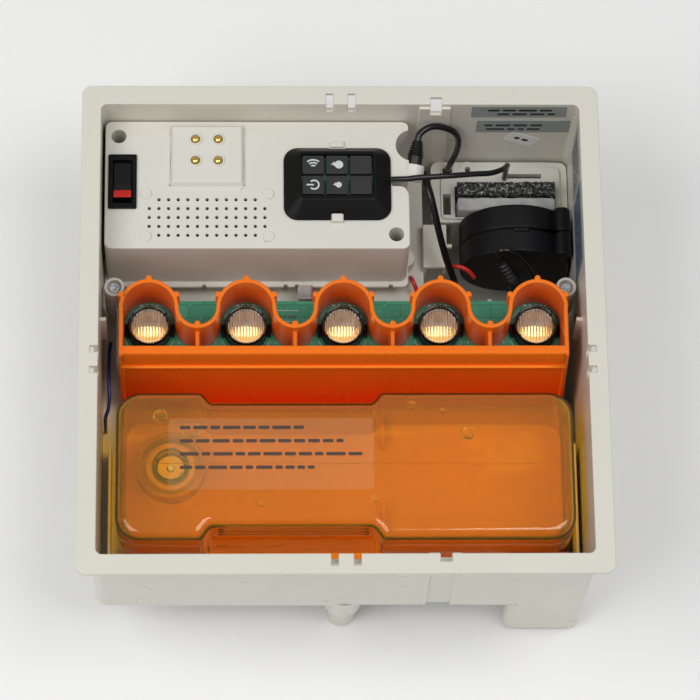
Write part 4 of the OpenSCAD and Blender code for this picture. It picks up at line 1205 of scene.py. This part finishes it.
FRAME_FLANGE_Z, FRAME_LEFT_SIDE = 53.9, 58.5
FRAME_POST_X, FRAME_POST_Y = (60, 72), 105
FRAME_SLOTS = ((83, 105), (104, 107.5))


def frame_openings(x, y, z):
    """Where the frame's edges stay sharp: round its slots and holes."""
    return (
        z < FRAME_FLANGE_Z or x < FRAME_LEFT_SIDE
        or (within(x, FRAME_POST_X) and y > FRAME_POST_Y)
        or (within(x, FRAME_SLOTS[0]) and within(y, FRAME_SLOTS[1]))
    )


moulded("filter_frame", "filter_holder", COVER, 0.5, 3, left_sharp=frame_openings)

# ---- Blower ----

moulded("blower_front_case", "blower_front_shell", BLACK, 1.2, 3)
moulded("blower_rear_case", "blower_rear_shell", BLACK, 1.2, 3)
moulded("blower_impeller", "blower_wheel", BLACK, 0.15, 1)
moulded("blower_stator", "blower_windings", COPPER, 0.4)
moulded("lead_plugs", "plug_bodies", PLUG_RUBBER, 0.25)

# ---- Lamps ----

LAMP_X = [1 + (i - 2) * 47.5 for i in range(5)]
BOARD_Z = 75.0
LENS_LOW = 80.5
LENS_R = 9.35
DOME_R = 14.2
DOME_TOP = 7.6
HOLLOW_TOP = 5.6
FLUTE = 1.3
FLUTE_DEPTH = 0.5
FLUTE_STEPS = 8
LENS_ROWS = 30


def lens_height(x, y, flute):
    """The lens's outer surface: a dome cut into flutes that run front to back, with a smooth rim."""
    reach = math.hypot(x, y)
    dome = math.sqrt(DOME_R**2 - reach**2) - DOME_R + DOME_TOP
    fade = min(1.0, max(0.0, (LENS_R - 0.3 - reach) / 0.5))
    return LENS_LOW + dome - flute * FLUTE_DEPTH * fade


def make_lens(number, x):
    """A clear fluted lens, 2 mm thick over its dish."""
    columns = int(2 * LENS_R / FLUTE) * FLUTE_STEPS
    bm = bmesh.new()
    grids = []
    for side in (0, 1):
        grid = []
        for i in range(columns + 1):
            u = LENS_R * 0.998 * (2 * i / columns - 1)
            flute = 1 - math.sqrt(1 - (0.97 * (2 * (i % FLUTE_STEPS) / FLUTE_STEPS - 1)) ** 2)
            half = math.sqrt(LENS_R**2 - u**2)
            row = []
            for k in range(LENS_ROWS + 1):
                v = half * (2 * k / LENS_ROWS - 1)
                inside = LENS_LOW + math.sqrt(max(DOME_R**2 - u * u - v * v, 0)) - DOME_R + HOLLOW_TOP
                row.append((x + u, LAMP_Y + v, lens_height(u, v, flute) if side == 0 else inside))
            grid.append(add_ring(bm, row))
        grids.append(grid)
        for row_a, row_b in zip(grid, grid[1:]):
            for k in range(LENS_ROWS):
                bm.faces.new((row_a[k], row_b[k], row_b[k + 1], row_a[k + 1]))
    bridge(bm, *(
        [row[0] for row in grid] + grid[-1][1:] + [row[-1] for row in grid[-2::-1]] + grid[0][-2:0:-1]
        for grid in grids
    ))
    piece = piece_from_bmesh(bm, f"lamp_glass_{number}", LENS, "casing",
                             [f"lamp_lens_{number}"])
    sharpen(piece, 30)


def make_dish(number, x):
    """The dish under the lens, round the lit chip, with a painted amber glow."""
    profile = [(2.6, BOARD_Z + 0.1), (2.6, BOARD_Z + 1.2), (4.6, BOARD_Z + 2.1), (6.4, BOARD_Z + 3.9),
               (7.6, BOARD_Z + 6.2), (8.2, BOARD_Z + 8.2)]
    thick = 0.35
    rings = [circle_points((x, LAMP_Y), r, z, 64) for r, z in profile]
    rings += [circle_points((x, LAMP_Y), r + thick, z - thick / 2, 64) for r, z in profile[::-1]]
    bm = bmesh.new()
    loft(bm, rings, close=True)
    piece_from_bmesh(bm, f"lamp_dish_{number}", DISH_PAINTED_GLOW, "casing")


def make_bezel_ring(number, x):
    """The black ring that holds the lens, with its rounded lip and four grip notches."""
    profile = [(LENS_R + 0.1, 84.3), (LENS_R + 0.25, 85.0), (LENS_R + 0.8, 85.2), (LENS_R + 1.15, 84.8),
               (LENS_R + 1.15, 82.2), (LENS_R + 0.1, 82.2)]
    bm = bmesh.new()
    loft(bm, [circle_points((x, LAMP_Y), r, z, 72) for r, z in profile], close=True)
    for angle in (-35, 35, 145, 215):
        a = math.radians(angle)
        centre = (x + (LENS_R + 0.55) * math.cos(a), LAMP_Y + (LENS_R + 0.55) * math.sin(a))
        turned(bm, centre, [(0.7, 83.5), (0.7, 85.3), (0.45, 85.6)], 16)
    sharpen(piece_from_bmesh(bm, f"lamp_ring_{number}", GLOSS_BLACK, "casing"), 50)


def make_board_details():
    """Print, solder joints and small parts on the lamp board."""
    bm = bmesh.new()
    top = BOARD_Z
    for x in LAMP_X:
        add_prism(bm, arc_band((x, LAMP_Y), 13.0, 0.3, 35, 145, 30), top, top + 0.06)
        add_prism(bm, arc_band((x, LAMP_Y), 12.6, 0.25, 200, 235, 12), top, top + 0.06)
        add_prism(bm, arc_band((x, LAMP_Y), 12.6, 0.25, 305, 340, 12), top, top + 0.06)
        for k in range(6):
            low = x - 7.5 + 2.6 * k
            add_prism(bm, rect_corners((low, low + 1.7), (27.2, 28.0)), top, top + 0.06)
    for low, high in (((-33.5, 19), (-20.5, 19.3)), ((-33.5, 24.7), (-20.5, 25)), ((45, 20), (55, 20.25))):
        add_prism(bm, rect_corners((low[0], high[0]), (low[1], high[1])), top, top + 0.06)
    sharpen(piece_from_bmesh(bm, "lamp_board_print", SILKSCREEN, "casing"), 50)
    bm = bmesh.new()
    pin = [(1.0, top), (0.95, top + 0.15), (0.5, top + 0.75), (0.35, top + 1.6), (0.2, top + 1.8)]
    for k in range(4):
        turned(bm, (-29.8 + 2.5 * k, 21.9), pin, 20)
    for x in LAMP_X[:-1]:
        for dx, y in ((14.6, 8.2), (14.6, 3.6), (32.0, 8.2), (32.0, 3.6)):
            turned(bm, (x + dx, y), [(0.7, top), (0.6, top + 0.2), (0.25, top + 0.5)], 14)
    sharpen(piece_from_bmesh(bm, "lamp_board_joints", SOLDER, "casing"), 50)
    bm = bmesh.new()
    for x in LAMP_X[:-1]:
        for dx, dy, w, d, h in ((17.0, 14.5, 3.2, 1.6, 0.6), (29.5, 14.0, 2.0, 1.25, 0.5)):
            chip = rounded_rect((x + dx - w / 2, x + dx + w / 2), (dy - d / 2, dy + d / 2), 0.12, 2)
            add_prism(bm, chip, top, top + h)
    sharpen(piece_from_bmesh(bm, "lamp_board_parts", BLACK, "casing"), 40)


moulded("lamp_tray", "lamp_housing", TRAY, 0.5, 3)
moulded("lamp_board", "lamp_circuit", BOARD, 0.15)
moulded("lamp_emitters", "lamp_chips", CHIP, 0.3, 3)
make_board_details()
for number, x in enumerate(LAMP_X, 1):
    moulded(f"lamp_holder_{number}", f"lamp_socket_{number}", BLACK, 0.35)
    make_dish(number, x)
    make_bezel_ring(number, x)
    make_lens(number, x)

# ---- Mist nozzle, sump and cradle ----

moulded("mist_nozzle", "nozzle_shell", NOZZLE, 0.7, 3)


def make_ridge_highlight_bead():
    """A rounded bead of brighter orange along the nozzle's front ridge, a painted highlight line."""
    bm = bmesh.new()
    sweep(bm, [Vector((x, -11.2, 91.9)) for x in range(-107, 110, 12)], round_section(0.75, 14))
    piece_from_bmesh(bm, "nozzle_ridge_highlight_bead", NOZZLE_PAINTED_HIGHLIGHT, "nozzle")


make_ridge_highlight_bead()
moulded("sump_tray", "sump_basin", SUMP, 0.5)
moulded("tank_cradle", "cradle_wall", BEIGE, 0.5)
moulded("mist_transducer", "mist_disc", ZINC, 0.4)
moulded("level_float", "float_ring", NYLON, 0.5)

# ---- Water tank ----

TANK_X, TANK_Y = (-109.3, 111.2), (-102.0, -27.5)
TANK_LOW, TANK_TOP = 56.0, 104.0
GRIP_X = (-66.0, 16.5)
GRIP_BACK, GRIP_FRONT = 5.4, 6.4
CAP = (-83.5, -53.4)


def tank_corners():
    """The plan of the tank, anticlockwise, with a sloping side to each finger recess."""
    slope = 2.2
    left, right = TANK_X
    front, back = TANK_Y
    a, b = GRIP_X
    return [
        (left, front), (a - slope, front), (a + slope, front + GRIP_FRONT),
        (b - slope, front + GRIP_FRONT), (b + slope, front), (right, front),
        (right, back), (b + slope, back), (b - slope, back - GRIP_BACK),
        (a + slope, back - GRIP_BACK), (a - slope, back), (left, back),
    ]


TANK_CORNER = 12.0
GRIP_CORNER = 3.2
OUTWARD = [True, True, False, False, True, True, True, True, False, False, True, True]
SQUARE = [0, 5, 6, 11]


def tank_plan(inset):
    """The tank's outline at one depth below its skin."""
    radii = []
    for i, outward in enumerate(OUTWARD):
        radius = TANK_CORNER if i in SQUARE else GRIP_CORNER
        radii.append(max(radius - inset, 0.4) if outward else radius + inset)
    return fillet(inset_corners(tank_corners(), inset), radii, 8)


def tank_rings(low, top, inset, low_round, crown):
    """Rings from the rounded foot to the rounded crown of the tank."""
    rings = []
    for k in range(4):
        a = math.pi / 2 * k / 3
        rings.append((inset + low_round * (1 - math.sin(a)), low + low_round * (1 - math.cos(a))))
    for k in range(7):
        a = math.pi / 2 * k / 6
        rings.append((inset + crown * (1 - math.cos(a)), top - crown * (1 - math.sin(a))))
    rings.append((inset + crown + 1.6, top))
    return [[(x, y, z) for x, y in tank_plan(d)] for d, z in rings]


def solid(name, build):
    """A shape that is only a step on the way to a piece."""
    bm = bmesh.new()
    build(bm)
    bmesh.ops.recalc_face_normals(bm, faces=bm.faces)
    mesh = bpy.data.meshes.new(name)
    bm.to_mesh(mesh)
    bm.free()
    shape = bpy.data.objects.new(name, mesh)
    bpy.context.scene.collection.objects.link(shape)
    return shape


def carve(shape, operation, tool):
    """Joins a tool shape to a shape or cuts it away, then drops the tool."""
    step = shape.modifiers.new("carve", "BOOLEAN")
    step.operation = operation
    step.solver = "EXACT"
    step.object = tool
    bpy.context.view_layer.update()
    evaluated = shape.evaluated_get(bpy.context.evaluated_depsgraph_get())
    mesh = bpy.data.meshes.new_from_object(evaluated)
    shape.modifiers.clear()
    shape.data = mesh
    bpy.data.objects.remove(tool)


def upright(radius, low, high):
    return lambda bm: turned(bm, CAP, [(radius, low), (radius, high)], 64)


TANK_WALL = 2.0
POCKET_R, POCKET_TOP = 15, 66
NECK_R, NECK_BORE_R = 9, 7.3
BELOW_TANK = 50


def make_tank():
    """The hollow tank, with a pocket in its foot round the neck that the cap closes."""
    outer = tank_rings(TANK_LOW, TANK_TOP, 0, 3, 5)
    inner = tank_rings(TANK_LOW + TANK_WALL, TANK_TOP - TANK_WALL, TANK_WALL, 1.6, 3.4)
    shape = solid("tank_body", lambda bm: loft(bm, outer))
    inside = solid("tank_hollow", lambda bm: loft(bm, inner))
    pocket_wall = upright(POCKET_R + TANK_WALL, BELOW_TANK, POCKET_TOP + TANK_WALL)
    carve(inside, "DIFFERENCE", solid("pocket_wall", pocket_wall))
    carve(shape, "DIFFERENCE", inside)
    carve(shape, "DIFFERENCE", solid("pocket", upright(POCKET_R, BELOW_TANK, POCKET_TOP)))
    carve(shape, "DIFFERENCE", solid("neck_hole", upright(NECK_BORE_R, 60, 70)))
    neck = solid("neck", upright(NECK_R, 54.6, 66.5))
    carve(neck, "DIFFERENCE", solid("neck_bore", upright(NECK_BORE_R, BELOW_TANK, 70)))
    carve(shape, "UNION", neck)
    for polygon in shape.data.polygons:
        polygon.use_smooth = True
    shape.data.materials.clear()
    shape.data.materials.append(TANK)
    sharpen(shape, 40)
    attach(shape, "tank")
    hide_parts("water_tank")


def make_tank_lines():
    """The parting line over the top, and the ribs under the front recess."""
    bm = bmesh.new()
    y = -65.0
    turns = [math.radians(a) for a in (10, 30, 50, 70, 88)]
    path = [(TANK_X[0] + 0.4, y, 66), (TANK_X[0] + 0.2, y, 98.8)]
    path += [(TANK_X[0] + 5 - 4.9 * math.cos(a), y, 99 + 4.9 * math.sin(a)) for a in turns]
    path += [(x, y - 0.3 * math.sin(x / 40), TANK_TOP - 0.05) for x in range(-98, 100, 14)]
    path += [(TANK_X[1] - 5 + 4.9 * math.cos(a), y, 99 + 4.9 * math.sin(a)) for a in turns[::-1]]
    path += [(TANK_X[1] - 0.2, y, 98.8), (TANK_X[1] - 0.4, y, 66)]
    sweep(bm, [Vector(p) for p in path], round_section(0.16, 8))
    wall_y = TANK_Y[0] + GRIP_FRONT
    for z in (96.5, 92.5, 88.5):
        sweep(bm, [Vector((x, wall_y + 0.35, z)) for x in range(-60, 14, 6)], round_section(0.75, 12))
    piece_from_bmesh(bm, "tank_ribs", TANK, "tank")


CROWN_REACH = 6
DROP_COUNT = 46


def on_tank_top(x, y, margin):
    """Whether a spot is on the flat of the tank's top, clear of its rounded sides and recesses."""
    recessed = GRIP_X[0] - margin < x < GRIP_X[1] + margin
    low = TANK_Y[0] + CROWN_REACH + (GRIP_FRONT if recessed else 0) + margin
    high = TANK_Y[1] - CROWN_REACH - (GRIP_BACK if recessed else 0) - margin
    return low < y < high


def make_droplets():
    """Water drops that hang under the tank's roof."""
    dice = random.Random(7)
    roof = TANK_TOP - TANK_WALL
    turns = [math.radians(a) for a in (0, 18, 36, 54, 72, 86)]
    spots = [
        (-88, -40, 3.4), (-73, -47.5, 4.4), (-7, -34, 1.8), (8, -37, 2.2), (33, -35, 2.3),
        (60, -49, 3.4), (-40, -84, 2.2), (15, -82, 2.0), (48, -38, 1.6), (-60, -37, 1.2),
    ]
    while len(spots) < DROP_COUNT:
        x, y = dice.uniform(-102, 104), dice.uniform(-96, -33)
        radius = dice.uniform(0.35, 1.0)
        if on_tank_top(x, y, 2):
            spots.append((x, y, radius))
    bm = bmesh.new()
    for x, y, radius in spots:
        if not on_tank_top(x, y, 0):
            continue
        squash = dice.uniform(0.3, 0.42)
        profile = [(radius * math.cos(a), roof + 0.05 - squash * radius * math.sin(a)) for a in turns]
        turned(bm, (x, y), [(radius * 0.9, roof + 0.25), *profile], 28)
    piece_from_bmesh(bm, "tank_droplets", DROP, "tank")


def sticker_film():
    """A clear film, hardly seen except for its edge and softer gloss."""
    material, tree, shader, _ = start_material("sticker_film", {"Alpha": 0.05})
    shade = tinted(tree, (0.95, 0.7, 0.4), 0.05, 30, 0.02)
    finish_surface(tree, shader, shade, 0.3, 0.1, 0.05, 900, 0.2, 1.5)
    return material


def make_tank_sticker():
    """The clear sticker on the tank's top, with four lines of print as plain bars."""
    film = [rounded_rect((-84.0, 14.5), (-78.0, -42.0), 2.0, 6)]
    flat_piece("tank_sticker", film, TANK_TOP + 0.02, TANK_TOP + 0.1, sticker_film(), "tank")
    bars = []
    for k, (end, row) in enumerate(((-19, -46.6), (0, -53.4), (9, -60.0), (-14, -66.8))):
        bars += word_bars(-78.5, end, row, 1.7, 60 + k)
    flat_piece("tank_sticker_print", bars, TANK_TOP + 0.09, TANK_TOP + 0.14, PRINT_SOFT, "tank")


make_tank()
make_tank_lines()
make_droplets()
make_tank_sticker()
moulded("tank_cap", "cap_shell", CAP_YELLOW, 0.5, 3)
moulded("cap_seal", "seal_washer", SEAL, 0.3)
moulded("valve_plunger", "valve_stem", NYLON, 0.3)
VALVE_SPRING = moulded("valve_spring", "valve_coils", ZINC, 0.05, 1)
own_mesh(VALVE_SPRING)

# ---- Stage and light ----


def make_floor():
    """A wide pale floor that curves up far behind the object."""
    bm = bmesh.new()
    start, bend = 2.6, 1.2
    turns = [math.radians(a) for a in range(10, 91, 10)]
    profile = [(-4.0, 0), (start, 0)]
    profile += [(start + bend * math.sin(a), bend * (1 - math.cos(a))) for a in turns]
    profile += [(3.8, 4.0)]
    rows = [[bm.verts.new((x, y, FLOOR_Z + z)) for x in (-5, 5)] for y, z in profile]
    for row_a, row_b in zip(rows, rows[1:]):
        bm.faces.new((row_a[0], row_a[1], row_b[1], row_b[0]))
    for face in bm.faces:
        face.smooth = True
    mesh = bpy.data.meshes.new("studio_floor")
    bm.to_mesh(mesh)
    bm.free()
    paper = moulded_plastic("floor_paper", (0.95, 0.95, 0.95), 0.7, scale=400, depth=0.3, wave=0,
                            drift=0.02)
    mesh.materials.append(paper)
    floor = bpy.data.objects.new("studio_floor", mesh)
    bpy.context.scene.collection.objects.link(floor)


def add_softbox(name, place, aim, size, power):
    lamp = bpy.data.lights.new(name, "AREA")
    lamp.shape = "RECTANGLE"
    lamp.size, lamp.size_y = size
    lamp.energy = power
    box = bpy.data.objects.new(name, lamp)
    box.location = place
    box.rotation_mode = "QUATERNION"
    box.rotation_quaternion = (Vector(aim) - Vector(place)).to_track_quat("-Z", "Y")
    bpy.context.scene.collection.objects.link(box)


def light_room():
    """Even room light and three softboxes: a key at the front left, one above, a faint one in front."""
    bpy.context.scene.view_settings.view_transform = "Standard"
    world = bpy.data.worlds.new("studio_room")
    bpy.context.scene.world = world
    world.use_nodes = True
    room = world.node_tree.nodes["Background"]
    room.inputs["Color"].default_value = (1, 1, 1, 1)
    room.inputs["Strength"].default_value = 0.33
    middle = (0, 0, 0.08)
    add_softbox("key_softbox", (-0.9, -0.4, 1.6), middle, (1.2, 1.0), 14)
    add_softbox("top_softbox", (0.7, -0.25, 2.1), middle, (1.0, 1.0), 14)
    add_softbox("front_softbox", (0.3, -1.8, 1.0), middle, (1.2, 0.8), 0.5)


make_floor()
light_room()
